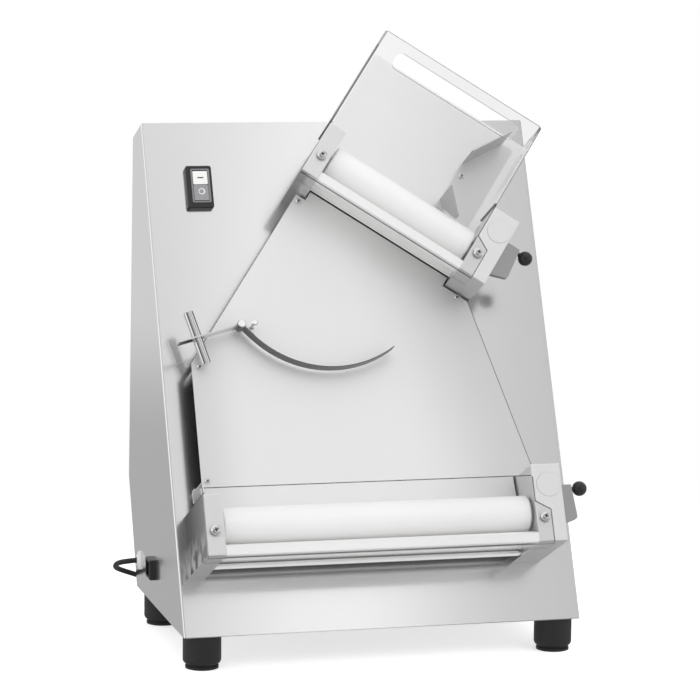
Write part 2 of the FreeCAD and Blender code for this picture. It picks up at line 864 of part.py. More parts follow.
def lever():
    """The thickness lever: a broad ear on a hub that turns about the spindle."""
    top = hinge_height + lever_top_rise
    corners = [(-hinge_inset, top), (lever_reach, top, 1.0),
               (lever_foot_reach, lever_foot_height, lever_corner_radius),
               (-1.0, lever_heel_height - 0.6, 1.5), (-hinge_inset + 4.5, hinge_height - 10.0)]
    ear = plate(corners, lever_back, lever_back + lever_thickness)
    hub = rod(hub_radius, (-hinge_inset, hinge_height, hub_back),
              (-hinge_inset, hinge_height, block_depth - block_wall - 2 * fit_gap))
    bore = rod(spindle_radius + running_gap, (-hinge_inset, hinge_height, hub_back - 1),
               (-hinge_inset, hinge_height, block_depth))
    return ear.fuse(hub).cut(bore).removeSplitter()


def lever_edge_reach(height):
    """How far the outer edge of the lever stands out at a height."""
    top = hinge_height + lever_top_rise
    share = (top - height) / (top - lever_foot_height)
    return lever_reach + share * (lever_foot_reach - lever_reach)


def lever_knob():
    """The ball knob on the outer edge of the lever."""
    y, z = hinge_height - knob_drop, lever_back + lever_thickness / 2
    ball = Part.makeSphere(knob_radius, V(knob_reach, y, z))
    neck_start = lever_edge_reach(y - knob_neck_radius) + seat_gap
    neck = rod(knob_neck_radius * 0.9, (neck_start, y, z), (knob_reach, y, z))
    return ball.fuse(neck)


def block_cap():
    """The round cover plug in the front of the right block."""
    back = block_depth - block_wall
    return rod(cap_radius, (-hinge_inset, hinge_height, back),
               (-hinge_inset, hinge_height, block_depth + cap_proud))


def front_bar(unit):
    """The steel bar under the front roller, with broken edges."""
    bar = block((unit.left_face + seat_gap, 0, block_depth - bar_depth - 0.5),
                (unit.right_face - seat_gap, bar_height, block_depth - 0.5))
    long_edges = [edge for edge in bar.Edges if edge.Length > 20]
    return bar.makeChamfer(bar_chamfer, long_edges)


def tie_rod(unit, place):
    """The round rod between the side plates, rounded and turned down at its right end."""
    height, out = place
    shoulder = unit.right_face - rod_tip_length
    body = rod(rod_radius, (unit.left_face + seat_gap, height, out), (shoulder, height, out))
    rims = [edge for edge in body.Edges if len(edge.Vertexes) == 1 and abs(edge.CenterOfMass.x - shoulder) < 1e-6]
    body = body.makeFillet(rod_end_rounding, rims)
    tip = rod(rod_tip_radius, (shoulder - rod_end_rounding, height, out), (unit.right_face - seat_gap, height, out))
    return body.fuse(tip)


def scrapers(unit):
    """The two bars below the rollers, each with a thin edge that wipes its roller beside the nip."""
    angle = math.radians(scraper_angle)
    reach = roller_radius + scraper_gap
    solids = []
    for axis_out, side, far in ((rear_axis_out, 1, rear_scraper_back), (front_axis_out, -1, front_scraper_front)):
        tip = (roller_axis_height - reach * math.sin(angle), axis_out + side * reach * math.cos(angle))
        edge = (tip[0] - scraper_tip_thickness * math.cos(angle), tip[1] + side * scraper_tip_thickness)
        corners = [tip, edge, (scraper_low, axis_out + side * 6.0), (scraper_low, far), (scraper_high, far),
                   (scraper_high, axis_out)]
        if side < 0:
            corners = corners[::-1]
        solids.append(side_plate_shape(corners, unit.left_face + seat_gap, unit.right_face - seat_gap))
    return solids


def guard_tab(unit, height):
    """The front sheet of a guard, with the tab that is screwed to the right block."""
    face = unit.right_face
    return [(unit.left_end, -guard_drop - guard_thickness), (face + tab_width, -guard_drop - guard_thickness, 2),
            (face + tab_width, tab_step_height, 2), (face, tab_height, 2), (face, height, guard_corner_radius)]


def lower_guard(unit):
    """The clear guard in front of the lower rollers, with a lip below and an ear on its left."""
    front = plate(guard_tab(unit, lower_guard_height) + [(unit.left_end, lower_guard_height, 2)],
                  block_front, guard_face)
    lip = block((unit.left_end, -guard_drop - guard_thickness, block_front - guard_lip_depth),
                (unit.right_face + tab_width, -guard_drop, block_front))
    foot = left_block_height + lower_ear_foot_gap
    profile = [(foot, block_front), (lower_guard_height, block_front),
               (lower_ear_height, lower_ear_back + 8, 4), (lower_ear_height - 1, lower_ear_back, 3),
               (foot, lower_ear_back, 2)]
    ear = side_plate_shape(profile, unit.left_end, unit.left_end + guard_thickness)
    guard = front.fuse([lip, ear])
    return guard.cut(together(screw_holes(unit))).removeSplitter()


def upper_guard(unit):
    """The tall clear guard over the upper rollers, with a grip slot and a cheek on each side."""
    left = unit.left_end - upper_guard_overhang
    corners = guard_tab(unit, upper_guard_height)
    corners += [(left, upper_guard_height, guard_corner_radius), (left, upper_cheek_left_foot),
                (unit.left_end, upper_cheek_left_foot)]
    front = plate(corners, block_front, guard_face)
    slot_left, slot_right = left + grip_left_inset, unit.right_face - grip_right_inset
    grip = plate([(slot_left, grip_low, grip_radius), (slot_right, grip_low, grip_radius),
                  (slot_right, grip_high, grip_radius), (slot_left, grip_high, grip_radius)],
                 block_front - 1, guard_face + 1)
    lip = block((unit.left_end, -guard_drop - guard_thickness, block_front - guard_lip_depth),
                (unit.right_face + tab_width, -guard_drop, block_front))
    cheeks = [block((left, upper_cheek_left_foot, upper_cheek_back),
                    (left + guard_thickness, upper_guard_height, block_front)),
              block((unit.right_face - guard_thickness, upper_cheek_right_foot, upper_cheek_back),
                    (unit.right_face, upper_guard_height, block_front))]
    guard = front.cut(grip).fuse([lip] + cheeks)
    return guard.cut(together(screw_holes(unit))).removeSplitter()


def guard_screws(unit):
    """The two domed screws that hold a guard to its blocks."""
    screws = []
    for x in guard_screw_places(unit):
        bottom = guard_face - screw_length
        points = [(0, bottom), (screw_shank_radius, bottom), (screw_shank_radius, guard_face),
                  (screw_head_radius, guard_face), (screw_head_radius * 0.93, guard_face + screw_head_height * 0.5),
                  (screw_head_radius * 0.68, guard_face + screw_head_height), (screw_socket_radius,
                   guard_face + screw_head_height), (screw_socket_radius,
                   guard_face + screw_head_height - screw_socket_depth),
                  (0, guard_face + screw_head_height - screw_socket_depth)]
        screws.append(turned(points, V(x, screw_height, 0), Z_AXIS))
    return screws


# Slide plate and chute

def slide_corners():
    """The outer corners of the slide plate: peak, right top, shoulder, left foot, right foot."""
    low = lower_corner[1] + right_block_height + slide_unit_gap
    return [on_panel((Unit(upper_opening).left_end + slide_peak_inset, -slide_unit_gap)),
            on_panel((-right_top_inset, -slide_unit_gap)), (slide_left, slide_shoulder),
            (slide_left, low), (slide_right_foot, low)]


def slide_post_places():
    """Where the posts of the slide plate stand, one near each of its corners."""
    insets = (peak_post_inset, right_post_inset, shoulder_post_inset, left_foot_post_inset,
              right_foot_post_inset)
    return [(corner[0] + inset[0], corner[1] + inset[1]) for corner, inset in zip(slide_corners(), insets)]


def slide_plate():
    """The plate that carries the sheet of dough down to the lower rollers."""
    upper = Unit(upper_opening)
    gap = slide_unit_gap
    peak, right_top, _, left_foot, right_foot = slide_corners()
    low = left_foot[1]
    tongue = [on_panel(point) for point in ((upper.left_face + gap, -gap),
                                            (upper.left_face + gap, tongue_rise - gap),
                                            (upper.right_face - gap, tongue_rise - gap),
                                            (upper.right_face - gap, -gap))]
    corners = [left_foot, right_foot, right_top] + tongue[::-1]
    corners += [peak, (slide_left, slide_shoulder, 3)]
    field = plate(corners, slide_out, slide_front)
    lower = Unit(lower_opening)
    left = lower_corner[0] + lower.left_face + gap
    right = lower_corner[0] + lower.right_face - gap
    left_block_top = lower_corner[1] + left_block_height + gap
    tongues = []
    for start, foot in ((left, low - lower_tongue_fall - gap), (slide_left, left_block_top)):
        reach = lower_tongue_out * (low - foot) / (lower_tongue_fall + gap)
        profile = [(low, slide_out), (low, slide_front), (foot, slide_front + reach), (foot, slide_out + reach)]
        tongues.append(side_plate_shape(profile, start, right))
    holes = [rod(pan_shank_radius + screw_hole_gap, (u, v, slide_out - 1), (u, v, slide_front + 1))
             for u, v in slide_post_places() + [stop_place, arm_pivot_place]]
    return field.fuse(tongues).cut(together(holes)).removeSplitter()


def slide_posts():
    """The posts that hold the slide plate and the chute plate off the panel."""
    unit = Unit(upper_opening)
    chute_post_places = [(unit.right_face - chute_right_post_inset, chute_post_height),
                         (unit.left_face + chute_left_post_inset, chute_post_height),
                         ((unit.left_face + unit.right_face) / 2, chute_post_height)]
    posts = []
    for u, v in slide_post_places():
        post = rod(post_radius, (u, v, 0), (u, v, slide_out))
        hole = rod(pan_shank_radius + screw_hole_gap, (u, v, slide_out - pan_shank_length - 1),
                   (u, v, slide_out + 1))
        posts.append(post.cut(hole))
    for place in chute_post_places:
        u, v = on_panel(place)
        posts.append(rod(post_radius, (u, v, 0), (u, v, chute_back)))
    return together(posts)


def pan_screw(u, v, seat):
    """A small pan head screw, its head lying on the seat."""
    points = [(0, -pan_shank_length), (pan_shank_radius, -pan_shank_length), (pan_shank_radius, 0),
              (pan_radius, 0), (pan_radius * 0.9, pan_height * 0.6), (pan_radius * 0.6, pan_height),
              (0, pan_height)]
    return turned(points, V(u, v, seat), Z_AXIS)


def panel_screws():
    """The pan head screws of the slide plate and of the dough guide."""
    screws = [pan_screw(u, v, slide_front) for u, v in slide_post_places()]
    u, v = on_panel(guide_screw_place)
    screws.append(pan_screw(u, v, slide_front + sheet))
    return together(screws)


def chute_plate(unit):
    """The plate behind the upper infeed."""
    left = unit.left_end - upper_guard_overhang + guard_thickness + chute_side_gap
    right = unit.right_face - 0.6
    notch = unit.left_face + chute_side_gap
    notch_height = left_block_height + chute_side_gap
    body = plate([(notch, chute_low), (right, chute_low), (right, chute_high), (left, chute_high),
                  (left, notch_height), (notch, notch_height)], chute_back, slide_front)
    x, y = guide_screw_place
    return body.cut(rod(pan_shank_radius + screw_hole_gap, (x, y, chute_back - 1), (x, y, slide_front + 1)))


def guide_wall(start, end, corners):
    """An upright wall of the dough guide, its outline given as (run, rise) along a line of its base."""
    direction = V(end[0] - start[0], end[1] - start[1], 0).normalize()
    wall = Part.Face(outline(corners)).extrude(V(0, 0, sheet))
    across = Z_AXIS.cross(direction)
    matrix = FreeCAD.Matrix(direction.x, 0, -across.x, start[0], direction.y, 0, -across.y, start[1],
                            0, 1, 0, slide_front, 0, 0, 0, 1)
    wall.Placement = FreeCAD.Placement(matrix)
    return wall


def dough_guide():
    """The folded guide that leads the dough to the middle of the upper rollers."""
    base_corners = [(guide_left, guide_low), (guide_foot_left, guide_foot), (guide_right, guide_foot, 3),
                    (guide_right, guide_top, 3), (guide_top_left, guide_top), (guide_left, guide_left_high)]
    base = plate(base_corners, slide_front, slide_front + sheet)
    upper_start, upper_end = (guide_left, guide_left_high), (guide_top_left, guide_top)
    upper_run = math.dist(upper_start, upper_end)
    upper_wall = guide_wall(upper_start, upper_end,
                            [(0, 0), (upper_run, 0), (upper_run, guide_upper_height), (0, guide_upper_height)])
    lower_start, lower_end = (guide_left, guide_low), (guide_foot_left, guide_foot)
    lower_run = math.dist(lower_start, lower_end)
    lower_wall = guide_wall(lower_start, lower_end,
                            [(0, 0), (guide_cut_run, 0), (lower_run, guide_cut_out),
                             (lower_run, guide_lower_height, 2), (0, guide_lower_height, 2)])
    x, y = guide_screw_place
    hole = rod(pan_shank_radius + screw_hole_gap, (x, y, slide_front - 1), (x, y, slide_front + sheet + 1))
    return base.fuse([upper_wall, lower_wall]).cut(hole).removeSplitter()


# Balance arm

def arm_studs():
    """The shoulder stud of the balance arm and the stop stud beside it."""
    u, v = arm_pivot_place
    arm_front = arm_back + arm_width
    points = [(0, slide_out), (pan_shank_radius, slide_out), (pan_shank_radius, slide_front),
              (arm_pin_radius + 1.4, slide_front), (arm_pin_radius + 1.4, arm_back - fit_gap),
              (arm_pin_radius, arm_back - fit_gap), (arm_pin_radius, arm_front + fit_gap),
              (arm_pin_head_radius, arm_front + fit_gap),
              (arm_pin_head_radius, arm_front + fit_gap + arm_pin_head_height * 0.6),
              (arm_pin_head_radius * 0.8, arm_front + fit_gap + arm_pin_head_height),
              (0, arm_front + fit_gap + arm_pin_head_height)]
    pivot = turned(points, V(u, v, 0), Z_AXIS)
    u, v = stop_place
    head = arm_front - pan_height
    points = [(0, slide_out), (pan_shank_radius, slide_out), (pan_shank_radius, slide_front),
              (stop_radius + 1, slide_front), (stop_radius + 1, slide_front + 1), (stop_radius, slide_front + 2),
              (stop_radius, head), (stop_head_radius, head), (stop_head_radius, arm_front - 1),
              (stop_head_radius * 0.7, arm_front), (0, arm_front)]
    return together([pivot, turned(points, V(u, v, 0), Z_AXIS)])


def arm_direction():
    """The unit vector from the pivot towards the tip of the arm."""
    u, v = arm_pivot_place
    return V(arm_tip_place[0] - u, arm_tip_place[1] - v, 0).normalize()


def weight_centre():
    """The middle of the counterweight."""
    u, v = arm_pivot_place
    return V(u, v, arm_back + arm_width / 2) + arm_direction() * weight_from_pivot


def strip_between(start, end, thickness):
    """A strip on edge between two points of the panel."""
    along = V(end[0] - start[0], end[1] - start[1], 0)
    across = V(-along.y, along.x, 0).normalize() * (thickness / 2)
    start, end = V(start[0], start[1], 0), V(end[0], end[1], 0)
    corners = [start - across, end - across, end + across, start + across]
    return plate([(point.x, point.y) for point in corners], arm_back, arm_back + arm_width)


def balance_arm():
    """The curved blade, the straight bar and their hub, welded into one."""
    u, v = arm_pivot_place
    hub = rod(arm_hub_radius, (u, v, arm_back), (u, v, arm_back + arm_width))
    bar = strip_between(arm_pivot_place, arm_tip_place, arm_bar_thickness)
    blade_points = []
    for angle in (blade_start_angle, (blade_start_angle + blade_end_angle) / 2, blade_end_angle):
        turn = math.radians(angle)
        blade_points.append((math.cos(turn), math.sin(turn)))
    rims = []
    for radius in (blade_radius - arm_blade_thickness / 2, blade_radius + arm_blade_thickness / 2):
        rims.append([V(blade_centre[0] + radius * c, blade_centre[1] + radius * s, 0) for c, s in blade_points])
    edges = [Part.Arc(*rims[0]).toShape(), Part.LineSegment(rims[0][2], rims[1][2]).toShape(),
             Part.Arc(*rims[1][::-1]).toShape(), Part.LineSegment(rims[1][0], rims[0][0]).toShape()]
    section = Part.Face(Part.Wire(edges))
    section.translate(V(0, 0, arm_back))
    blade = section.extrude(V(0, 0, arm_width))
    blade_root = (rims[0][0] + rims[1][0]) * 0.5
    link = strip_between(arm_pivot_place, (blade_root.x, blade_root.y), arm_bar_thickness)
    bore = rod(arm_pin_radius + running_gap, (u, v, arm_back - 1), (u, v, arm_back + arm_width + 1))
    seat = weight_body(weight_radius + seat_gap, weight_length)
    return hub.fuse([bar, blade, link]).cut(bore).cut(seat).removeSplitter()


def weight_body(radius, length):
    """A round bar across the arm, about the counterweight's centre."""
    along = arm_direction()
    across = V(-along.y, along.x, 0)
    start = weight_centre() - across * (length / 2)
    return Part.makeCylinder(radius, length, start, across)


def counterweight():
    """The polished round weight through the arm."""
    weight = weight_body(weight_radius, weight_length)
    ends = [edge for edge in weight.Edges if len(edge.Vertexes) == 1]
    return weight.makeChamfer(weight_chamfer, ends)


# Drive

def hub_and_rims(radius, bore_radius, width):
    """A grooved belt pulley about its own axis, centred on its width."""
    half = width / 2 + pulley_rim
    groove = width / 2
    rim = radius + pulley_rim_height
    points = [(bore_radius, -half), (rim, -half), (rim, -groove - 0.3), (radius, -groove - 0.3),
              (radius, groove + 0.3), (rim, groove + 0.3), (rim, half), (bore_radius, half)]
    return points


def round_pulley_points(bore_radius):
    """A pulley with a vee groove for the round belt."""
    half = round_pulley_width / 2
    bottom = round_belt_pulley_radius - round_belt_radius - belt_gap
    mouth = round_belt_pulley_radius + 3
    return [(bore_radius, -half), (mouth, -half), (mouth, -round_groove_mouth),
            (round_belt_pulley_radius, -round_groove_half), (bottom, -round_belt_radius * 0.8),
            (bottom, round_belt_radius * 0.8), (round_belt_pulley_radius, round_groove_half),
            (mouth, round_groove_mouth), (mouth, half), (bore_radius, half)]


def gear_motor():
    """The gear motor on its foot, bolted to the base plate."""
    left = motor_right - motor_length
    y, z = motor_axis_y, motor_axis_z
    can = rod(motor_radius, (left, y, z), (motor_right, y, z))
    cooling_cover = rod(motor_radius - 4, (left - 14, y, z), (left, y, z))
    gearbox = block((motor_right, y - gearbox_half, z - gearbox_half),
                    (motor_right + gearbox_length, y + gearbox_half, z + gearbox_half))
    foot = block((motor_right - motor_foot_length, y - motor_foot_width / 2,
                  foot_height + base_plate_thickness), (motor_right, y + motor_foot_width / 2, z - 20))
    fins = []
    for number in range(12):
        angle = math.radians(15 + 30 * number)
        fin = block((left + 10, -1.2, motor_radius - 2), (motor_right - 10, 1.2, motor_radius + 5))
        fin.Placement = FreeCAD.Placement(V(0, y, z), FreeCAD.Rotation(X_AXIS, math.degrees(angle)))
        fins.append(fin)
    motor = can.fuse([cooling_cover, gearbox, foot] + fins)
    bore = rod(output_shaft_radius + running_gap, (motor_right + gearbox_length - 20, y, z),
               (motor_right + gearbox_length + 1, y, z))
    return motor.cut(bore).removeSplitter()


def motor_pulleys():
    """The output shaft with the two pulleys that drive the belts."""
    y, z = motor_axis_y, motor_axis_z
    start = motor_right + gearbox_length - 18
    shaft = rod(output_shaft_radius, (start, y, z), (second_belt_x + shaft_overhang, y, z))
    solids = []
    for x in (lower_belt_x(), second_belt_x):
        points = hub_and_rims(motor_pulley_radius, output_shaft_radius - 1, belt_width)
        solids.append(turned(points, V(x, y, z), X_AXIS))
    return shaft.fuse(solids).removeSplitter()


def lower_belt_x():
    """Where the flat belt of the lower rollers runs."""
    return lower_corner[0] - pulley_inset


def roller_pulley(unit, kind):
    """The pulley on the right journal of a rear roller."""
    bore = journal_radius + running_gap
    if kind == "flat":
        points = hub_and_rims(driven_pulley_radius, bore, belt_width)
    else:
        points = round_pulley_points(bore)
    return turned(points, V(-pulley_inset, roller_axis_height, rear_axis_out), X_AXIS)


def roller_centre(corner, tilt):
    """The middle of a roller pulley in the machine."""
    frame = unit_frame(corner, tilt)
    return frame.multVec(V(-pulley_inset, roller_axis_height, rear_axis_out))


def belt_outline(first, first_radius, second, second_radius):
    """The outline of a belt round two pulleys, in the (y, z) plane."""
    dy, dz = second[0] - first[0], second[1] - first[1]
    distance = math.hypot(dy, dz)
    heading = math.atan2(dz, dy)
    wrap = math.acos((first_radius - second_radius) / distance)

    def point(centre, radius, angle):
        return V(centre[0] + radius * math.cos(angle), centre[1] + radius * math.sin(angle), 0)

    upper_first = point(first, first_radius, heading + wrap)
    lower_first = point(first, first_radius, heading - wrap)
    upper_second = point(second, second_radius, heading + wrap)
    lower_second = point(second, second_radius, heading - wrap)
    back = point(first, first_radius, heading + math.pi)
    front = point(second, second_radius, heading)
    return Part.Wire([Part.Arc(upper_first, back, lower_first).toShape(),
                      Part.LineSegment(lower_first, lower_second).toShape(),
                      Part.Arc(lower_second, front, upper_second).toShape(),
                      Part.LineSegment(upper_second, upper_first).toShape()])


def flat_belt(first, first_radius, second, second_radius, x):
    """A closed flat belt round two parallel pulleys."""
    inner = Part.Face(belt_outline(first, first_radius + belt_gap, second, second_radius + belt_gap))
    outer = Part.Face(belt_outline(first, first_radius + belt_gap + belt_thickness,
                                   second, second_radius + belt_gap + belt_thickness))
    solid = outer.cut(inner).Faces[0].extrude(V(0, 0, belt_width))
    turn = FreeCAD.Rotation(Y_AXIS, Z_AXIS, X_AXIS, "ZXY")
    solid.Placement = FreeCAD.Placement(V(x - belt_width / 2, 0, 0), turn)
    return solid


def countershaft_point():
    """The axis of the countershaft, straight behind the upper roller pulley, on the panel."""
    u, v = on_panel((-pulley_inset, roller_axis_height))
    return u, v, -countershaft_behind


def countershaft():
    """The shaft behind the panel that passes the drive up to the tilted rollers."""
    u, v, w = countershaft_point()
    shaft = rod(countershaft_radius, (u - round_pulley_width / 2 - shaft_overhang, v, w),
                (second_belt_x + shaft_overhang, v, w))
    vee = turned(round_pulley_points(countershaft_radius - 1), V(u, v, w), X_AXIS)
    flat = turned(hub_and_rims(driven_pulley_radius, countershaft_radius - 1, belt_width),
                  V(second_belt_x, v, w), X_AXIS)
    return shaft.fuse([vee, flat]).removeSplitter()


def countershaft_bracket():
    """The folded bracket on the back of the panel that carries the countershaft."""
    u, v, w = countershaft_point()
    back = w - bracket_reach
    foot = block((bracket_left, v - bracket_half, -sheet - bracket_wall), (bracket_right, v + bracket_half, -sheet))
    cheeks = []
    for left in (bracket_left, bracket_right - bracket_wall):
        cheeks.append(block((left, v - bracket_half, back), (left + bracket_wall, v + bracket_half, -sheet)))
    bore = rod(countershaft_radius + running_gap, (bracket_left - 1, v, w), (bracket_right + 1, v, w))
    return foot.fuse(cheeks).cut(bore).removeSplitter()


def round_belt():
    """The round belt that turns through the tilt between the countershaft and the upper roller."""
    u, v, w = countershaft_point()
    low = V(u, v, w)
    high = V(u, v, rear_axis_out)
    radius = round_belt_pulley_radius
    tilt = math.radians(upper_tilt)
    across_low = Y_AXIS * radius
    across_high = V(math.sin(tilt), math.cos(tilt), 0) * radius
    along = V(0, 0, low.distanceToPoint(high))
    curves = [Part.Arc(low - across_low, low - V(0, 0, radius), low + across_low),
              Part.Arc(high - across_high, high + V(0, 0, radius), high + across_high)]
    for sign in (-1, 1):
        strand = Part.BSplineCurve()
        strand.interpolate(Points=[low + across_low * sign, high + across_high * sign],
                           InitialTangent=along, FinalTangent=along)
        curves.append(strand)
    pieces = []
    for curve in curves:
        edge = curve.toShape()
        section = Part.makeCircle(round_belt_radius, edge.valueAt(edge.FirstParameter), Z_AXIS)
        pieces.append(Part.Wire([edge]).makePipeShell([Part.Wire([section])], True, False))
    return pieces[0].fuse(pieces[1:])


# Cord

cord_route = [(-273.0, gland_y + 1.0, gland_z - 1.2), (-279.0, 284.0, 75.0), (-278.5, 297.0, 68.0), (-270.0, 307.5, 62.0),
              (-255.0, 315.0, 55.5), (-236.0, 319.5, 48.0), (-213.0, 320.0, 38.5), (-188.0, 317.5, 28.0),
              (-163.0, 313.5, 17.5), (-139.0, 309.5, 9.0), (-116.0, 306.5, 4.6)]


def coil_point(turns, total):
    """A point of the coil and its heading, after a number of turns from the outer end."""
    def radius_at(value):
        if value < coil_turns_in:
            return coil_radius - coil_pitch * value
        if value < coil_turns_in + 0.5:
            share = (value - coil_turns_in) * 2
            return coil_radius - coil_pitch * coil_turns_in - coil_pitch * 0.5 * share * (1 - share)
        return coil_radius - coil_pitch * (total - value)

    def height_at(value):
        share = min(max((value - coil_turns_in) * 2, 0.0), 1.0)
        return cord_radius + floor_gap + coil_layer_rise * (1 - math.cos(math.pi * share)) / 2

    def place(value):
        turn = math.radians(coil_start_angle) + 2 * math.pi * value
        return V(coil_centre[0] + radius_at(value) * math.cos(turn),
                 coil_centre[1] + radius_at(value) * math.sin(turn), height_at(value))

    small = 1e-4
    heading = (place(turns + small) - place(turns - small)).normalize()
    return place(turns), heading


def biarc(start, start_heading, end, end_heading):
    """Two arcs that join two points with given headings."""
    chord = end - start
    both = start_heading + end_heading
    spread = 2 * (1 - start_heading.dot(end_heading))
    lean_in = chord.dot(both)
    reach = (-lean_in + math.sqrt(lean_in ** 2 + spread * chord.dot(chord))) / spread
    middle = (start + start_heading * reach + end - end_heading * reach) * 0.5
    edges = []
    for first, second, heading, sign in ((start, middle, start_heading, 1), (middle, end, end_heading, -1)):
        span = second - first
        if sign > 0:
            base, direction = first, heading
            towards = span
        else:
            base, direction = second, heading * -1
            towards = span * -1
        bend = towards.getAngle(direction)
        bisector = (V(towards).normalize() + direction).normalize()
        halfway = base + bisector * (towards.Length / 2 / math.cos(bend / 2))
        edges.append(Part.Arc(first, halfway, second).toShape())
    return edges


def swept_cord(edges):
    """A round cord along a chain of edges."""
    path = Part.Wire(edges)
    first = edges[0]
    start = first.valueAt(first.FirstParameter)
    heading = first.tangentAt(first.FirstParameter)
    section = Part.Wire([Part.makeCircle(cord_radius, start, heading)])
    return path.makePipeShell([section], True, False)


def coil_path():
    """The edges of the wound coil, with its straight lead to the plug."""
    total = coil_turns_in + 0.5 + coil_turns_out
    steps = int(round(total * 4))
    stations = [coil_point(total * number / steps, total) for number in range(steps + 1)]
    edges = []
    for (start, first), (end, second) in zip(stations, stations[1:]):
        edges += biarc(start, first, end, second)
    last, heading = stations[-1]
    flat = V(heading.x, heading.y, 0).normalize()
    edges.append(Part.LineSegment(last, last + flat * coil_lead_out).toShape())
    return edges, stations[0][0], stations[0][1], last + flat * coil_lead_out, flat


def cord_path():
    """The free stretch of cord: straight runs joined by tangent arcs."""
    _, coil_start, coil_heading, _, _ = coil_path()
    nose = -housing_width / 2 - gland_flange_height - gland_nose_height
    points = [V(nose, gland_y, gland_z)] + [V(*point) for point in cord_route]
    points += [coil_start - coil_heading * 14, coil_start]
    edges, radii = [], []
    at = points[0]
    for before, here, after in zip(points, points[1:], points[2:]):
        arriving, leaving = here - before, after - here
        shorter = min(arriving.Length, leaving.Length)
        turn = arriving.getAngle(leaving)
        radius = 0.45 * shorter / math.tan(turn / 2)
        radii.append(radius)
        reach = 0.45 * shorter
        entry = here - V(arriving).normalize() * reach
        leave = here + V(leaving).normalize() * reach
        bisector = (entry + leave - here * 2).normalize()
        middle = here + bisector * (radius / math.cos(turn / 2) - radius)
        if at.distanceToPoint(entry) > 1e-6:
            edges.append(Part.LineSegment(at, entry).toShape())
        edges.append(Part.Arc(entry, middle, leave).toShape())
        at = leave
    edges.append(Part.LineSegment(at, points[-1]).toShape())
    return edges, radii


def cord_plug():
    """The mains plug, lying on the floor beside the coil."""
    _, _, _, end, heading = coil_path()
    half_height = end.z - floor_gap
    half_width = plug_width / 2
    body = block((0, -half_width, -half_height), (plug_length, half_width, half_height))
    edges = [edge for edge in body.Edges if abs(edge.CenterOfMass.x) > 1e-6]
    body = body.makeFillet(plug_rounding, [edge for edge in edges if abs(edge.tangentAt(0).x) > 0.9])
    nose = turned([(0, -12), (cord_radius + 1.2, -12), (cord_radius + 3.6, 0), (0, 0)], V(0, 0, 0), X_AXIS)
    body = body.fuse(nose)
    for side in (-1, 1):
        y = side * plug_pin_pitch / 2
        pin = rod(plug_pin_radius, (plug_length, y, 0), (plug_length + plug_pin_length, y, 0))
        body = body.fuse(pin)
    body = body.removeSplitter()
    angle = math.degrees(math.atan2(heading.y, heading.x))
    body.Placement = FreeCAD.Placement(end + heading * 12, FreeCAD.Rotation(Z_AXIS, angle))
    return body


def least_coil_gap(edges):
    """The least distance between turns of the coil that lie side by side, less the cord's diameter."""
    least_run = coil_radius
    points, lengths = [], []
    run = 0.0
    for edge in edges:
        for number in range(12):
            share = number / 12
            parameter = edge.FirstParameter + (edge.LastParameter - edge.FirstParameter) * share
            points.append(edge.valueAt(parameter))
            lengths.append(run + edge.Length * share)
        run += edge.Length
    least = 1e9
    for first in range(len(points)):
        for second in range(first + 1, len(points)):
            if lengths[second] - lengths[first] > least_run:
                least = min(least, points[first].distanceToPoint(points[second]))
    return least - 2 * cord_radius


# Assembly

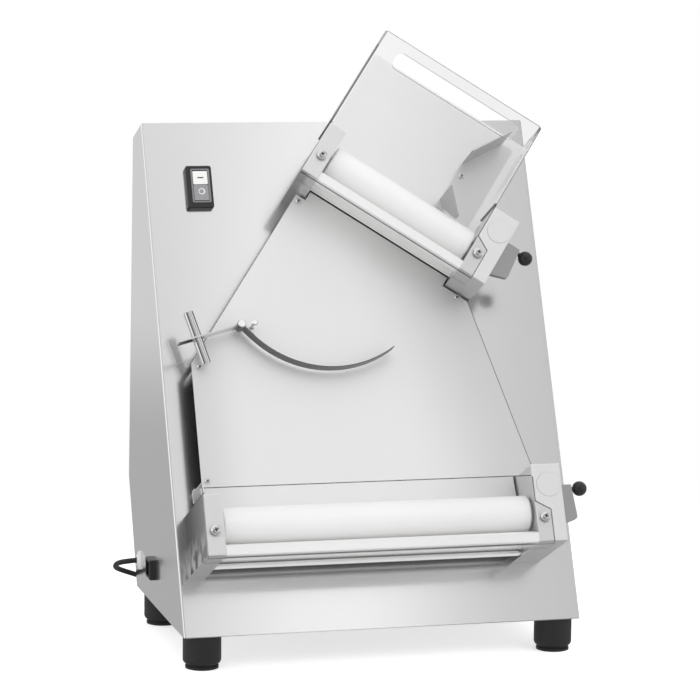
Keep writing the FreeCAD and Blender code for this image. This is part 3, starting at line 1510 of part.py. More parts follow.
def main():
    parts = {}
    lower, upper = Unit(lower_opening), Unit(upper_opening)
    lower_frame = unit_frame(lower_corner, 0)
    upper_frame = unit_frame(upper_corner, upper_tilt)

    parts["front_shell"] = front_shell()
    parts["back_panel"] = back_panel()
    parts["base_plate"] = base_plate()
    parts["rubber_feet"] = rubber_feet()
    parts["switch_housing"] = placed(switch_housing(), panel_frame)
    parts["start_button"] = placed(push_button("start"), panel_frame)
    parts["stop_button"] = placed(push_button("stop"), panel_frame)
    parts["pedal_socket"] = pedal_socket()

    tooth_step = 2 * math.pi / gear_teeth
    for name, unit, frame in (("lower", lower, lower_frame), ("upper", upper, upper_frame)):
        pieces = {
            "left_block": left_block(unit),
            "right_block": right_block(unit),
            "side_plates": side_plates(unit),
            "rear_bearings": rear_bearings(unit),
            "rear_roller": rear_roller(unit),
            "front_roller": front_roller(unit),
            "rear_gear": unit_gear(unit, rear_axis_out, math.pi / 2),
            "front_gear": unit_gear(unit, front_axis_out, math.pi / 2 + tooth_step / 2),
            "bearing_slides": bearing_slides(unit),
            "lever": lever(),
            "lever_knob": lever_knob(),
            "front_bar": front_bar(unit),
            "roller_pulley": roller_pulley(unit, "flat" if name == "lower" else "round"),
            "guard": lower_guard(unit) if name == "lower" else upper_guard(unit),
        }
        for piece, shape in pieces.items():
            parts[name + "_" + piece] = placed(shape, frame)

    pairs = ((lower, lower_frame), (upper, upper_frame))
    parts["tie_rods"] = together([placed(tie_rod(lower, lower_rod_place), lower_frame),
                                  placed(tie_rod(upper, upper_rod_place), upper_frame)])
    parts["scrapers"] = together([placed(bar, frame) for unit, frame in pairs for bar in scrapers(unit)])
    parts["block_caps"] = together([placed(block_cap(), frame) for _, frame in pairs])
    parts["guard_screws"] = together([placed(screw, frame) for unit, frame in pairs
                                      for screw in guard_screws(unit)])
    parts["slide_plate"] = placed(slide_plate(), panel_frame)
    parts["plate_posts"] = placed(slide_posts(), panel_frame)
    parts["panel_screws"] = placed(panel_screws(), panel_frame)
    parts["chute_plate"] = placed(chute_plate(upper), upper_frame)
    parts["dough_guide"] = placed(dough_guide(), upper_frame)
    parts["arm_studs"] = placed(arm_studs(), panel_frame)
    parts["balance_arm"] = placed(balance_arm(), panel_frame)
    parts["counterweight"] = placed(counterweight(), panel_frame)

    motor_axis = (motor_axis_y, motor_axis_z)
    low_centre = roller_centre(lower_corner, 0)
    u, v, w = countershaft_point()
    counter_centre = panel_frame.multVec(V(u, v, w))
    parts["gear_motor"] = gear_motor()
    parts["motor_pulleys"] = motor_pulleys()
    parts["lower_belt"] = flat_belt(motor_axis, motor_pulley_radius, (low_centre.y, low_centre.z),
                                    driven_pulley_radius, lower_belt_x())
    parts["countershaft_belt"] = flat_belt(motor_axis, motor_pulley_radius, (counter_centre.y, counter_centre.z),
                                           driven_pulley_radius, second_belt_x)
    parts["countershaft"] = placed(countershaft(), panel_frame)
    parts["countershaft_bracket"] = placed(countershaft_bracket(), panel_frame)
    parts["upper_belt"] = placed(round_belt(), panel_frame)

    corded = {"cable_gland": cable_gland()}
    route_edges, radii = cord_path()
    coil_edges, _, _, _, _ = coil_path()
    corded["cord"] = swept_cord(route_edges)
    corded["cord_coil"] = swept_cord(coil_edges)
    corded["cord_plug"] = cord_plug()

    box = together(list(parts.values())).BoundBox
    shift = V(-(box.XMin + box.XMax) / 2, -(box.YMin + box.YMax) / 2, -box.ZMin)
    parts.update(corded)
    os.makedirs("parts", exist_ok=True)
    for name, shape in sorted(parts.items()):
        shape.translate(shift)
        shape.exportStep(os.path.join("parts", name + ".step"))
        print(name, "valid" if shape.isValid() else "NOT VALID", len(shape.Solids), "solids")
    route_length = sum(edge.Length for edge in route_edges)
    coil_length = sum(edge.Length for edge in coil_edges)
    section = math.pi * cord_radius ** 2
    print("cord radii", [round(radius, 1) for radius in radii])
    print("cord lengths", round(route_length, 1), round(coil_length, 1))
    print("cord volume over section times length", round(parts["cord"].Volume / section / route_length, 4),
          round(parts["cord_coil"].Volume / section / coil_length, 4))
    print("least gap in the coil", round(least_coil_gap(coil_edges), 2))
    print("shift of the frame", shift)
    print("size", [round(value, 1) for value in (box.XLength, box.YLength, box.ZLength)])


main()
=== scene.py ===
import math

import bmesh
import bpy
from mathutils import Matrix, Vector


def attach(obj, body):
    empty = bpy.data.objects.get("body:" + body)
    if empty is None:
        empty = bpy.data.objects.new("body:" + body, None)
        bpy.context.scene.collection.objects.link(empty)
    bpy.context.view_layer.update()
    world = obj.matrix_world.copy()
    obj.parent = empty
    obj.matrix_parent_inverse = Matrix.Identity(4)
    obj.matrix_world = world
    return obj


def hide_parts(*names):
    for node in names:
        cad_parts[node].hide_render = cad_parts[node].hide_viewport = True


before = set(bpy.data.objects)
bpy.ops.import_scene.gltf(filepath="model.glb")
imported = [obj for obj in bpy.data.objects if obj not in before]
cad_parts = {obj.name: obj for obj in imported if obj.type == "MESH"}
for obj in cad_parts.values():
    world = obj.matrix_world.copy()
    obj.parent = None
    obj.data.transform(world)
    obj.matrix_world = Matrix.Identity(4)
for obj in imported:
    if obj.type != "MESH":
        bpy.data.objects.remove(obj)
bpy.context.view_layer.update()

# Camera: a long lens 3.6 m away, a little to the left of the machine and above it, looking slightly down.
# The machine stands with the middle of its footprint at the origin, so each point of the housing's drawing
# is moved there from the drawing's own origin.
middle_x, middle_y = 3.5, -137.4124


def floor_point(x, y, z):
    """A point given in millimetres in the drawing of the housing."""
    return Vector((x + middle_x, y + middle_y, z)) / 1000


camera_yaw, camera_pitch, camera_roll = math.radians(14.96), math.radians(8.21), math.radians(0.63)
camera_place = floor_point(-992.9, -3534.3, 913.4)
camera_data = bpy.data.cameras.new("camera")
camera_data.sensor_width, camera_data.lens, camera_data.clip_end = 36.0, 158.85, 50.0
camera = bpy.data.objects.new("camera", camera_data)
bpy.context.scene.collection.objects.link(camera)
bpy.context.scene.camera = camera
ahead = Vector((math.sin(camera_yaw) * math.cos(camera_pitch),
                math.cos(camera_yaw) * math.cos(camera_pitch), -math.sin(camera_pitch)))
level_right = Vector((math.cos(camera_yaw), -math.sin(camera_yaw), 0))
level_up = level_right.cross(ahead)
right = level_right * math.cos(camera_roll) + level_up * math.sin(camera_roll)
up = level_up * math.cos(camera_roll) - level_right * math.sin(camera_roll)
camera.matrix_world = Matrix([(right[row], up[row], -ahead[row], camera_place[row]) for row in range(3)]
                             + [(0, 0, 0, 1)])


# Mains cord: about one and a half metres of round black rubber lead. It leaves the gland on the left side,
# turns back round the housing's rear corner and runs down to a neat coil behind the machine. Its rubber is
# the first finish, so the two tools that make every finish come with it.
class Field:
    """A value over the surface: it adds, multiplies and compares like a number, and | takes the larger."""

    def __init__(self, finish, socket):
        self.finish, self.socket = finish, socket

    def maths(self, operation, *others):
        return self.finish.node("Math", {"operation": operation}, self, *others)

    def __add__(self, other):
        return self.maths("ADD", other)

    def __sub__(self, other):
        return self.maths("SUBTRACT", other)

    def __rsub__(self, other):
        return self.finish.node("Math", {"operation": "SUBTRACT"}, other, self)

    def __mul__(self, other):
        return self.maths("MULTIPLY", other)

    def __gt__(self, other):
        return self.maths("GREATER_THAN", other)

    def __lt__(self, other):
        return self.maths("LESS_THAN", other)

    def __or__(self, other):
        return self.maths("MAXIMUM", other)

    def __abs__(self):
        return self.maths("ABSOLUTE")

    __radd__ = __add__
    __rmul__ = __mul__

    def ramp(self, start, end):
        """An even climb from 0 at the start to 1 at the end."""
        return self.finish.node("MapRange", None, self, start, end)

    def fade(self, start, end):
        """A soft climb from 0 at the start to 1 at the end."""
        return self.finish.node("MapRange", {"interpolation_type": "SMOOTHSTEP"}, self, start, end)


class Finish:
    """A material in the making."""

    def __init__(self, name, **surface):
        self.material = bpy.data.materials.new(name)
        self.material.use_nodes = True
        self.tree = self.material.node_tree
        self.tree.nodes.clear()
        self.output = self.tree.nodes.new("ShaderNodeOutputMaterial")
        self.principled = self.node("BsdfPrincipled")
        self.shader = self.principled.socket.node
        self.show(self.principled)
        self.surface(**surface)

    def feed(self, socket, value):
        if isinstance(value, Field):
            self.tree.links.new(value.socket, socket)
        elif isinstance(value, (tuple, list)) and len(value) == 3 and socket.type == "RGBA":
            socket.default_value = (*value, 1)
        else:
            socket.default_value = value

    def node(self, kind, settings=None, *values, out=0, sockets=None, **named):
        """One node from its type, its settings and its inputs, given in order, by number or by name."""
        made = self.tree.nodes.new("ShaderNode" + kind)
        for key, value in (settings or {}).items():
            if key == "stops":
                for index, (place, colour) in enumerate(value):
                    ramp = made.color_ramp.elements
                    stop = ramp[index] if index < 2 else ramp.new(place)
                    stop.position, stop.color = place, (*colour, 1)
            else:
                setattr(made, key, value)
        for index, value in list(enumerate(values)) + list((sockets or {}).items()):
            self.feed(made.inputs[index], value)
        for key, value in named.items():
            self.feed(made.inputs[key.replace("_", " ")], value)
        return Field(self, made.outputs[out])

    def show(self, field):
        self.tree.links.new(field.socket, self.output.inputs[0])

    def surface(self, **values):
        for key, value in values.items():
            self.feed(self.shader.inputs[key.replace("_", " ")], value)

    def along(self, direction):
        """How far along a direction the surface lies, in metres."""
        position = self.node("TexCoord", out="Object")
        return self.node("VectorMath", {"operation": "DOT_PRODUCT"}, position, tuple(direction), out="Value")

    def facing(self, direction):
        """How squarely the surface faces a direction, from -1 to 1."""
        normal = self.node("NewGeometry", out="Normal")
        return self.node("VectorMath", {"operation": "DOT_PRODUCT"}, normal, tuple(direction), out="Value")

    def noise(self, scale, vector=None, detail=2.0, roughness=0.5):
        if vector is None:
            vector = self.node("TexCoord", out="Object")
        return self.node("TexNoise", None, Vector=vector, Scale=scale, Detail=detail, Roughness=roughness)

    def blend(self, factor, first, second):
        """One colour turning into another."""
        return self.node("Mix", {"data_type": "RGBA"}, out=2, sockets={0: factor, 6: first, 7: second})

    def bump(self, height, distance, strength=1.0):
        self.surface(Normal=self.node("Bump", None, Height=height, Distance=distance, Strength=strength))


cord_radius, cord_clearance = 3.4, 0.1
cord_exit = floor_point(-255.2, 272.0, 81.0)
cord_route = [(-273.0, 273.0, 79.8), (-279.0, 284.0, 75.0), (-278.5, 297.0, 68.0), (-270.0, 307.5, 62.0),
              (-255.0, 315.0, 55.5), (-236.0, 319.5, 48.0), (-213.0, 320.0, 38.5), (-188.0, 317.5, 28.0),
              (-163.0, 313.5, 17.5), (-139.0, 309.5, 9.0), (-116.0, 306.5, 4.6)]
coil_middle, coil_outer, coil_step, coil_start = (-97.0, 353.0), 46.5, 7.4, math.radians(-72.0)
turns_in, turns_over, turns_out, points_per_turn = 2.25, 0.5, 2.25, 24
all_turns = turns_in + turns_over + turns_out
coil_lead_in, plug_lead, plug_lead_middle = 0.014, 0.040, 0.020

coil_points = []
for number in range(int(all_turns * points_per_turn) + 1):
    turns = number / points_per_turn
    share = min(max((turns - turns_in) / turns_over, 0.0), 1.0)
    if turns < turns_in:
        radius = coil_outer - coil_step * turns
    elif turns < turns_in + turns_over:
        radius = coil_outer - coil_step * turns_in - coil_step * 0.5 * share * (1 - share)
    else:
        radius = coil_outer - coil_step * (all_turns - turns)
    height = cord_radius + cord_clearance + coil_step * (1 - math.cos(math.pi * share)) / 2
    angle = coil_start + 2 * math.pi * turns
    coil_points.append(floor_point(coil_middle[0] + radius * math.cos(angle),
                                   coil_middle[1] + radius * math.sin(angle), height))
coil_heading = (coil_points[1] - coil_points[0]).normalized()
lead_heading = (coil_points[-1] - coil_points[-2]).normalized()
lead_heading.z = 0
lead_heading.normalize()
plug_start = coil_points[-1] + lead_heading * plug_lead
cord_points = ([cord_exit] + [floor_point(*point) for point in cord_route]
               + [coil_points[0] - coil_heading * coil_lead_in] + coil_points
               + [coil_points[-1] + lead_heading * plug_lead_middle, plug_start])

cord_curve = bpy.data.curves.new("mains_cord", "CURVE")
cord_curve.dimensions = "3D"
cord_curve.bevel_depth = cord_radius / 1000
cord_curve.bevel_resolution = 5
cord_curve.use_fill_caps = True
spline = cord_curve.splines.new("NURBS")
spline.points.add(len(cord_points) - 1)
for control, point in zip(spline.points, cord_points):
    control.co = (*point, 1)
spline.order_u = 3
spline.use_endpoint_u = True
spline.resolution_u = 4
mains_cord = bpy.data.objects.new("mains_cord", cord_curve)
bpy.context.scene.collection.objects.link(mains_cord)

cord_rubber = Finish("cord_rubber", Base_Color=(0.018, 0.018, 0.019), IOR=1.5)
grain = cord_rubber.noise(900.0)
cord_rubber.surface(Roughness=grain * 0.15 + 0.48)
cord_rubber.bump(grain, 0.0001, 0.4)
cord_curve.materials.append(cord_rubber.material)
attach(mains_cord, "housing")
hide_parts("cord", "cord_coil")


# Plug: a moulded two pin mains plug of black plastic with five finger grooves. It is moulded onto the lead
# and lies flat at its end. The pins are nickel plated.
def fine_grained(name, colour, roughness, grains, depth, strength, metallic=0.0, detail=2.0):
    """A finish of one colour with a fine grain pressed into it."""
    finish = Finish(name, Base_Color=colour, Roughness=roughness, Metallic=metallic)
    finish.bump(finish.noise(grains, None, detail), depth, strength)
    return finish


def new_piece(name, mesh, body, finish, smooth=True):
    """A finished mesh as an object that rides on a body."""
    piece = bpy.data.objects.new(name, mesh)
    bpy.context.scene.collection.objects.link(piece)
    mesh.materials.append(finish.material)
    for face in mesh.polygons:
        face.use_smooth = smooth
    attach(piece, body)
    return piece


def lofted(name, rings, closed=True):
    """A mesh skin through rings of points that all have the same count."""
    count = len(rings[0])
    faces = []
    for row in range(len(rings) - 1):
        for column in range(count):
            following = (column + 1) % count
            faces.append((row * count + column, row * count + following,
                          (row + 1) * count + following, (row + 1) * count + column))
    if closed:
        faces.append(tuple(range(count))[::-1])
        faces.append(tuple((len(rings) - 1) * count + column for column in range(count)))
    mesh = bpy.data.meshes.new(name)
    mesh.from_pydata([tuple(point) for ring in rings for point in ring], [], faces)
    mesh.update()
    return mesh


def join_meshes(name, meshes):
    """Several meshes as one."""
    joined = bmesh.new()
    for mesh in meshes:
        joined.from_mesh(mesh)
        bpy.data.meshes.remove(mesh)
    bmesh.ops.recalc_face_normals(joined, faces=joined.faces)
    result = bpy.data.meshes.new(name)
    joined.to_mesh(result)
    joined.free()
    return result


def axes_from(direction):
    """Two directions square to a third, the first of them level."""
    side = Vector((0, 0, 1)).cross(direction).normalized()
    return side, direction.cross(side).normalized()


def rounded_square(step, count, power):
    """A point on a square of half width one whose sides bulge more for a lower power."""
    angle = 2 * math.pi * step / count
    c, s = math.cos(angle), math.sin(angle)
    return math.copysign(abs(c) ** (2 / power), c), math.copysign(abs(s) ** (2 / power), s)


def round_rings(start, direction, profile, count=32, reach=None):
    """Rings of a turned form: profile is (radius, height) in millimetres along a direction."""
    side, rise = axes_from(direction)
    rings = []
    for index, (radius, height) in enumerate(profile):
        ring = []
        for step in range(count):
            angle = 2 * math.pi * step / count
            arm = radius * (reach(index, angle) if reach else 1.0) / 1000
            ring.append(start + direction * (height / 1000)
                        + (side * math.cos(angle) + rise * math.sin(angle)) * arm)
        rings.append(ring)
    return rings


# Each section is the distance from the lead, half the width, half the height and how square it is.
plug_sections = [(0, 4.4, 4.4, 2.0), (9, 6.2, 6.2, 2.0), (11, 8.0, 7.4, 2.2), (12.5, 11.5, 9.2, 2.6),
                 (16, 12.8, 10.2, 3.0)]
first_groove, groove_pitch, groove_count = 19.0, 4.0, 5
for groove in range(groove_count):
    groove_start = first_groove + groove * groove_pitch
    plug_sections += [(groove_start, 13.2, 10.5, 3.2), (groove_start + 1.0, 12.4, 9.8, 3.2),
                      (groove_start + 2.2, 12.4, 9.8, 3.2), (groove_start + 3.2, 13.3, 10.6, 3.2)]
plug_sections += [(42, 13.4, 10.7, 3.4), (50.5, 13.4, 10.7, 3.6), (51.6, 12.8, 10.1, 3.6),
                  (52, 12.0, 9.3, 3.6)]
plug_ring_points = 40
plug_side, plug_rise = axes_from(lead_heading)
plug_rings = []
for distance, half_width, half_height, power in plug_sections:
    ring = []
    for step in range(plug_ring_points):
        x, y = rounded_square(step, plug_ring_points, power)
        ring.append(plug_start + lead_heading * (distance / 1000)
                    + plug_side * (x * half_width / 1000) + plug_rise * (y * half_height / 1000))
    plug_rings.append(ring)
plug_black = fine_grained("plug_black", (0.02, 0.02, 0.021), 0.45, 1200.0, 0.00008, 0.35)
plug_mesh = lofted("mains_plug", plug_rings)
mains_plug = new_piece("mains_plug", plug_mesh, "housing", plug_black)
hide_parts("cord_plug")

pin_seat, pin_offset = 0.0518, 0.0095
pin_profile = [(2.4, 0), (2.4, 17.0), (2.1, 18.4), (1.2, 19.1)]
pin_meshes = []
for side in (-1, 1):
    pin_start = plug_start + lead_heading * pin_seat + plug_side * (side * pin_offset)
    pin_meshes.append(lofted("pin", round_rings(pin_start, lead_heading, pin_profile, 24)))
pin_nickel = fine_grained("pin_nickel", (0.80, 0.78, 0.74), 0.22, 600.0, 0.00003, 0.2, metallic=1.0)
plug_pins = new_piece("plug_pins", join_meshes("plug_pins", pin_meshes), "housing", pin_nickel)

# Tie: a short black hook and loop strap, closed round the coil's turns on their left. It holds the cord
# together that is put away.
tie_angle, tie_from_middle, tie_ring_count, tie_squareness = math.radians(150), 0.0395, 48, 4
tie_half_reach, tie_half_height, tie_middle_height = 14.0, 7.0, 7.6
tie_section = ((-7, 0), (7, 0), (7, 0.7), (-7, 0.7))
tie_out = Vector((math.cos(tie_angle), math.sin(tie_angle), 0))
tie_along = Vector((-tie_out.y, tie_out.x, 0))
tie_centre = floor_point(coil_middle[0], coil_middle[1], 0) + tie_out * tie_from_middle
tie_rings = []
for step in range(tie_ring_count):
    x, z = rounded_square(step, tie_ring_count, tie_squareness)
    tie_rings.append([tie_centre + tie_out * (x * (tie_half_reach + grow) / 1000)
                      + tie_along * (across / 1000)
                      + Vector((0, 0, (tie_middle_height + z * (tie_half_height + grow * 0.8)) / 1000))
                      for across, grow in tie_section])
tie_cloth = fine_grained("tie_cloth", (0.02, 0.02, 0.022), 0.9, 2500.0, 0.0002, 0.6)
coil_tie = new_piece("coil_tie", lofted("coil_tie", tie_rings + [tie_rings[0]], closed=False), "housing",
                     tie_cloth, smooth=False)


# Housing: brushed stainless sheet, folded from one piece over the front, the top and both sides, and closed
# by a folded rear sheet and a floor plate. The front panel leans back, and its own directions are across, up
# along the sheet, and out of it towards the cook. The grain runs up the panel.
panel_lean = math.radians(24.65)
panel_foot = 42
ACROSS = Vector((1, 0, 0))
UP_PANEL = Vector((0, math.sin(panel_lean), math.cos(panel_lean)))
OUT = Vector((0, -math.cos(panel_lean), math.sin(panel_lean)))


def panel_point(u, v, w):
    """A point given in millimetres on the front panel."""
    return floor_point(0, 0, panel_foot) + (ACROSS * u + UP_PANEL * v + OUT * w) / 1000


def grey(value):
    """A neutral colour."""
    return value, value, value


def brushed(name, tone, roughness, level=False, polish=0.0):
    """Brushed steel, its grain up the panel or level, its ridges polished more or less over the grooves."""
    finish = Finish(name, Metallic=1.0, Coat_Weight=polish, Coat_Roughness=0.09, Coat_IOR=3.2)
    grain_direction, side_direction = (ACROSS, UP_PANEL) if level else (UP_PANEL, ACROSS)
    length, side, depth = [finish.along(direction) for direction in (grain_direction, side_direction, OUT)]
    fine_grain, broad_grain = (40.0, 2400.0), (3.0, 60.0)
    fine, broad = [finish.node("CombineXYZ", None, length * with_grain, side * over_grain, depth * over_grain)
                   for with_grain, over_grain in (fine_grain, broad_grain)]
    lines = finish.noise(1.0, fine, 3.0, 0.6)
    bands = finish.noise(1.0, broad, 2.0, 0.5)
    finish.surface(Roughness=lines * 0.06 + bands * 0.02 + roughness)
    if tone:
        dark = tuple(value * 0.985 for value in tone)
        light = tuple(min(value * 1.015, 1.0) for value in tone)
        finish.tone = finish.blend(lines * 0.6 + bands * 0.4, dark, light)
        finish.surface(Base_Color=finish.tone)
    finish.bump(lines, 0.00001, 0.03)
    return finish


def refinish(finish, *nodes):
    """Carried over solids get a finish in place of their own."""
    for node in nodes:
        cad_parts[node].data.materials.clear()
        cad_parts[node].data.materials.append(finish.material)


def round_edges(node, width):
    """The sharp edges of a carried over solid get a small flat."""
    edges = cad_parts[node].modifiers.new("edges", "BEVEL")
    edges.width, edges.segments, edges.limit_method = width, 1, "ANGLE"
    edges.angle_limit = math.radians(50)
    edges.harden_normals = False


# A thin line of painted shade runs along the front's foot and along its right edge.
panel_right, shade_line_width, rim_shade_tone = 250, 0.0009, grey(0.22)
housing_steel = brushed("housing_steel", (0.74, 0.74, 0.743), 0.19, polish=0.9)
foot_edge = housing_steel.along(Vector((0, 0, 1))) < panel_foot / 1000 + shade_line_width
right_edge = housing_steel.along(ACROSS) > panel_point(panel_right, 0, 0).dot(ACROSS) - shade_line_width
rim_shade_line = (foot_edge | right_edge) * (housing_steel.facing(OUT) > 0.5)
housing_steel.surface(Base_Color=housing_steel.blend(rim_shade_line, housing_steel.tone, rim_shade_tone))
refinish(housing_steel, "front_shell", "back_panel", "base_plate")
sheet_flat = 0.0006
round_edges("front_shell", sheet_flat)

# Slide and chute plates: the same steel, 1.5 mm thick and duller, screwed to posts on the panel. The slide
# lies between the units, with a painted sheen brightest in its middle, and its edge faces, a line along its
# right edge and its back painted dark as shade. The chute lies above it, and the guide on the chute is folded
# from a strip with its grain level.
slide_left, slide_right_foot = -221.7, (199.5, 172.9)
left_reach, rim_reach = 0.07, 0.15
rim_out = ACROSS * 0.9642 + UP_PANEL * 0.2652
plate_steel = brushed("plate_steel", None, 0.46)
rim_depth = panel_point(*slide_right_foot, 0).dot(rim_out) - plate_steel.along(rim_out)
left_depth = plate_steel.along(ACROSS) - panel_point(slide_left, 0, 0).dot(ACROSS)
# Painted sheen: the slide's colour brightens from its left edge towards the middle and darkens again towards
# its right edge.
sheen = plate_steel.blend(left_depth.fade(0.0, left_reach), (0.84, 0.835, 0.835), (0.995, 0.99, 0.99))
sheen = plate_steel.blend(rim_depth.fade(0.0, rim_reach), (0.76, 0.755, 0.755), sheen)
# Painted shade: the edge faces and a thin line along the right edge are dark grey, and the back is near
# black, which the panel mirrors as a dark band beside the slide.
plate_front = (plate_steel.facing(OUT) > 0.9) * (rim_depth > shade_line_width)
plate_back_shade = plate_steel.facing(OUT) < -0.5
plate_tone = plate_steel.blend(plate_front, grey(0.16), sheen)
plate_steel.surface(Base_Color=plate_steel.blend(plate_back_shade, plate_tone, grey(0.06)), Metallic=0.75)
refinish(plate_steel, "slide_plate")
chute_steel = brushed("chute_steel", (0.98, 0.975, 0.975), 0.26, polish=0.2)
chute_steel.surface(Metallic=0.8)
refinish(chute_steel, "chute_plate")
for node in ("slide_plate", "chute_plate"):
    round_edges(node, sheet_flat)
guide_steel = brushed("guide_steel", None, 0.34, level=True)
# Painted shade: the guide's upright walls are darker than its flat faces.
shaded_upright = abs(guide_steel.facing(OUT)) < 0.6
guide_steel.surface(Base_Color=guide_steel.blend(shaded_upright, grey(0.88), grey(0.58)))
refinish(guide_steel, "dough_guide")

# Covers: bent steel boxes with a fine ground finish. They sit on the side plates, over the gears on the left
# and the drive on the right of each unit, with a round plug in each right one. Their undersides and the left
# ones' outer sides are painted darker as shade, and the lower left one has faint painted reflection patches.
cover_tones = {"left": grey(0.94), "right": grey(0.88)}
underside_shade_tone, side_shade_dark, side_shade_light, reflection_patch_tone = grey(0.70), grey(0.06), grey(0.30), grey(0.62)
side_shade_reach, reflection_patch_reach, reflection_patch_limits = (0.03, 0.11), (0.040, 0.010), (0.40, 0.62)
unit_corner = {"lower": (207.6, 74.9), "upper": (138.9, 401.0)}
unit_tilt = {"lower": 0.0, "upper": math.radians(35.0)}
opening_width = {"lower": 385.8, "upper": 205.9}
right_cover_width, left_cover_width = 36.2, 22.4


def unit_along(unit):
    """The direction along the rollers of a unit."""
    return ACROSS * math.cos(unit_tilt[unit]) - UP_PANEL * math.sin(unit_tilt[unit])


def unit_rise(unit):
    """The direction up the panel square to the rollers of a unit."""
    return UP_PANEL * math.cos(unit_tilt[unit]) + ACROSS * math.sin(unit_tilt[unit])


def unit_point(unit, p, q, w):
    """A point given in millimetres from the lower right corner of a roller unit."""
    c, s = math.cos(unit_tilt[unit]), math.sin(unit_tilt[unit])
    return panel_point(unit_corner[unit][0] + p * c + q * s, unit_corner[unit][1] - p * s + q * c, w)


def painted_side_tone(finish, unit):
    """The painted tone of a left cover's outer side: painted shade, dark near the panel, with painted
    reflection patches low on the lower one.
    """
    from_panel = finish.along(OUT) - panel_point(0, 0, 0).dot(OUT)
    tone = finish.blend(from_panel.ramp(*side_shade_reach), side_shade_dark, side_shade_light)
    if unit == "lower":
        above_foot = finish.along(UP_PANEL) - unit_point(unit, 0, 0, 0).dot(UP_PANEL)
        patches = finish.noise(75.0, None, 0.0).ramp(*reflection_patch_limits)
        tone = finish.blend(patches * above_foot.ramp(*reflection_patch_reach), tone, reflection_patch_tone)
    return tone


for unit in ("lower", "upper"):
    for side, tone in cover_tones.items():
        cover_steel = brushed("%s_%s_cover_steel" % (unit, side), None, 0.34, level=True)
        # Painted shade: the undersides are darker.
        underside = cover_steel.facing(unit_rise(unit)) < -0.9
        cover_tone = cover_steel.blend(underside, tone, underside_shade_tone)
        if side == "left":
            outer_side = cover_steel.facing(unit_along(unit) * -1) > 0.97
            cover_tone = cover_steel.blend(outer_side, cover_tone, painted_side_tone(cover_steel, unit))
        cover_steel.surface(Base_Color=cover_tone, Metallic=0.8)
        refinish(cover_steel, "%s_%s_block" % (unit, side))
        round_edges("%s_%s_block" % (unit, side), sheet_flat)
cap_steel = brushed("cap_steel", grey(0.88), 0.34, level=True)
cap_steel.surface(Metallic=0.8)
refinish(cap_steel, "block_caps")

# Side plates, posts and countershaft: solid steel, satin, bolted to the housing. The bars and round rods
# between the side plates are paler, and the levers are painted darker as the shade on their side-facing
# plates, with their hubs welded on.
satin_steel = brushed("satin_steel", (0.74, 0.74, 0.745), 0.30, level=True)
refinish(satin_steel, "lower_side_plates", "upper_side_plates", "plate_posts", "countershaft",
         "countershaft_bracket")
bar_steel = Finish("bar_steel", Roughness=0.3)
bar_steel.surface(Base_Color=bar_steel.blend(bar_steel.noise(60.0), grey(0.94), grey(0.98)),
                  Metallic=0.45 - (bar_steel.facing(UP_PANEL) < -0.3) * 0.35)
refinish(bar_steel, "lower_front_bar", "upper_front_bar", "tie_rods")
# Painted shade: the levers' steel is given a darker tone.
shaded_lever_steel = brushed("shaded_lever_steel", (0.46, 0.46, 0.465), 0.32, level=True)
refinish(shaded_lever_steel, "lower_lever", "upper_lever")

# Studs and balance weight: turned and polished steel. The studs are screwed into the slide plate, and the
# weight is a short rod across the arm's end with two dark streaks painted along its length as reflections.
bright_steel = fine_grained("bright_steel", (0.80, 0.80, 0.81), 0.14, 700.0, 0.00002, 0.2, metallic=1.0)
refinish(bright_steel, "arm_studs")
# Painted reflection: two dark streaks on the weight, chosen by which way its surface faces.
weight_side, reflection_streak_shift, reflection_streak_start, reflection_streak_end = ACROSS * 0.9 + UP_PANEL * 0.43, 0.1, 0.5, 0.78
weight_steel = Finish("weight_steel", Metallic=1.0, Roughness=0.14)
round_weight = abs(weight_steel.facing(weight_side) - reflection_streak_shift)
reflection_streak = (round_weight > reflection_streak_start) * (round_weight < reflection_streak_end)
weight_steel.surface(Base_Color=weight_steel.blend(reflection_streak, (0.80, 0.80, 0.81), grey(0.16)))
weight_steel.bump(weight_steel.noise(700.0), 0.00002, 0.2)
refinish(weight_steel, "counterweight")


# Screws: zinc plated, with a cross recess and a shaded rim and recess. Button heads hold the guards to the
# side plates, and smaller pan heads hold the slide and the chute to their posts.
def cross_head(seat, head_radius, head_height, shank_radius, shank_length, recess, turn):
    """One screw, its head lying on the seat and its recess turned by an angle."""
    sides, outer_rings, recess_start, arm_half_width = 48, 3, 8, 0.26
    head = [(0.98, 0), (1.0, 0.12), (0.97, 0.35), (0.86, 0.66), (0.66, 0.9), (0.46, 1.0)]
    socket = [(1.0, 1.0), (0.97, 0.9), (0.7, 0.35)]
    profile = [(shank_radius, -shank_length), (shank_radius, 0)]
    profile += [(head_radius * radius, head_height * height) for radius, height in head]
    profile += [(recess * radius, head_height * height) for radius, height in socket]

    def star(index, angle):
        if index < recess_start:
            return 1.0
        off_axis = (angle + turn) % (math.pi / 2)
        off_axis = min(off_axis, math.pi / 2 - off_axis)
        return min(1.0, arm_half_width / max(math.sin(off_axis), 1e-6))

    screw = lofted("head", round_rings(seat, OUT, profile, sides, star))
    for number, face in enumerate(screw.polygons):
        shaded = number < outer_rings * sides or number >= recess_start * sides
        face.material_index = 1 if shaded else 0
    return screw


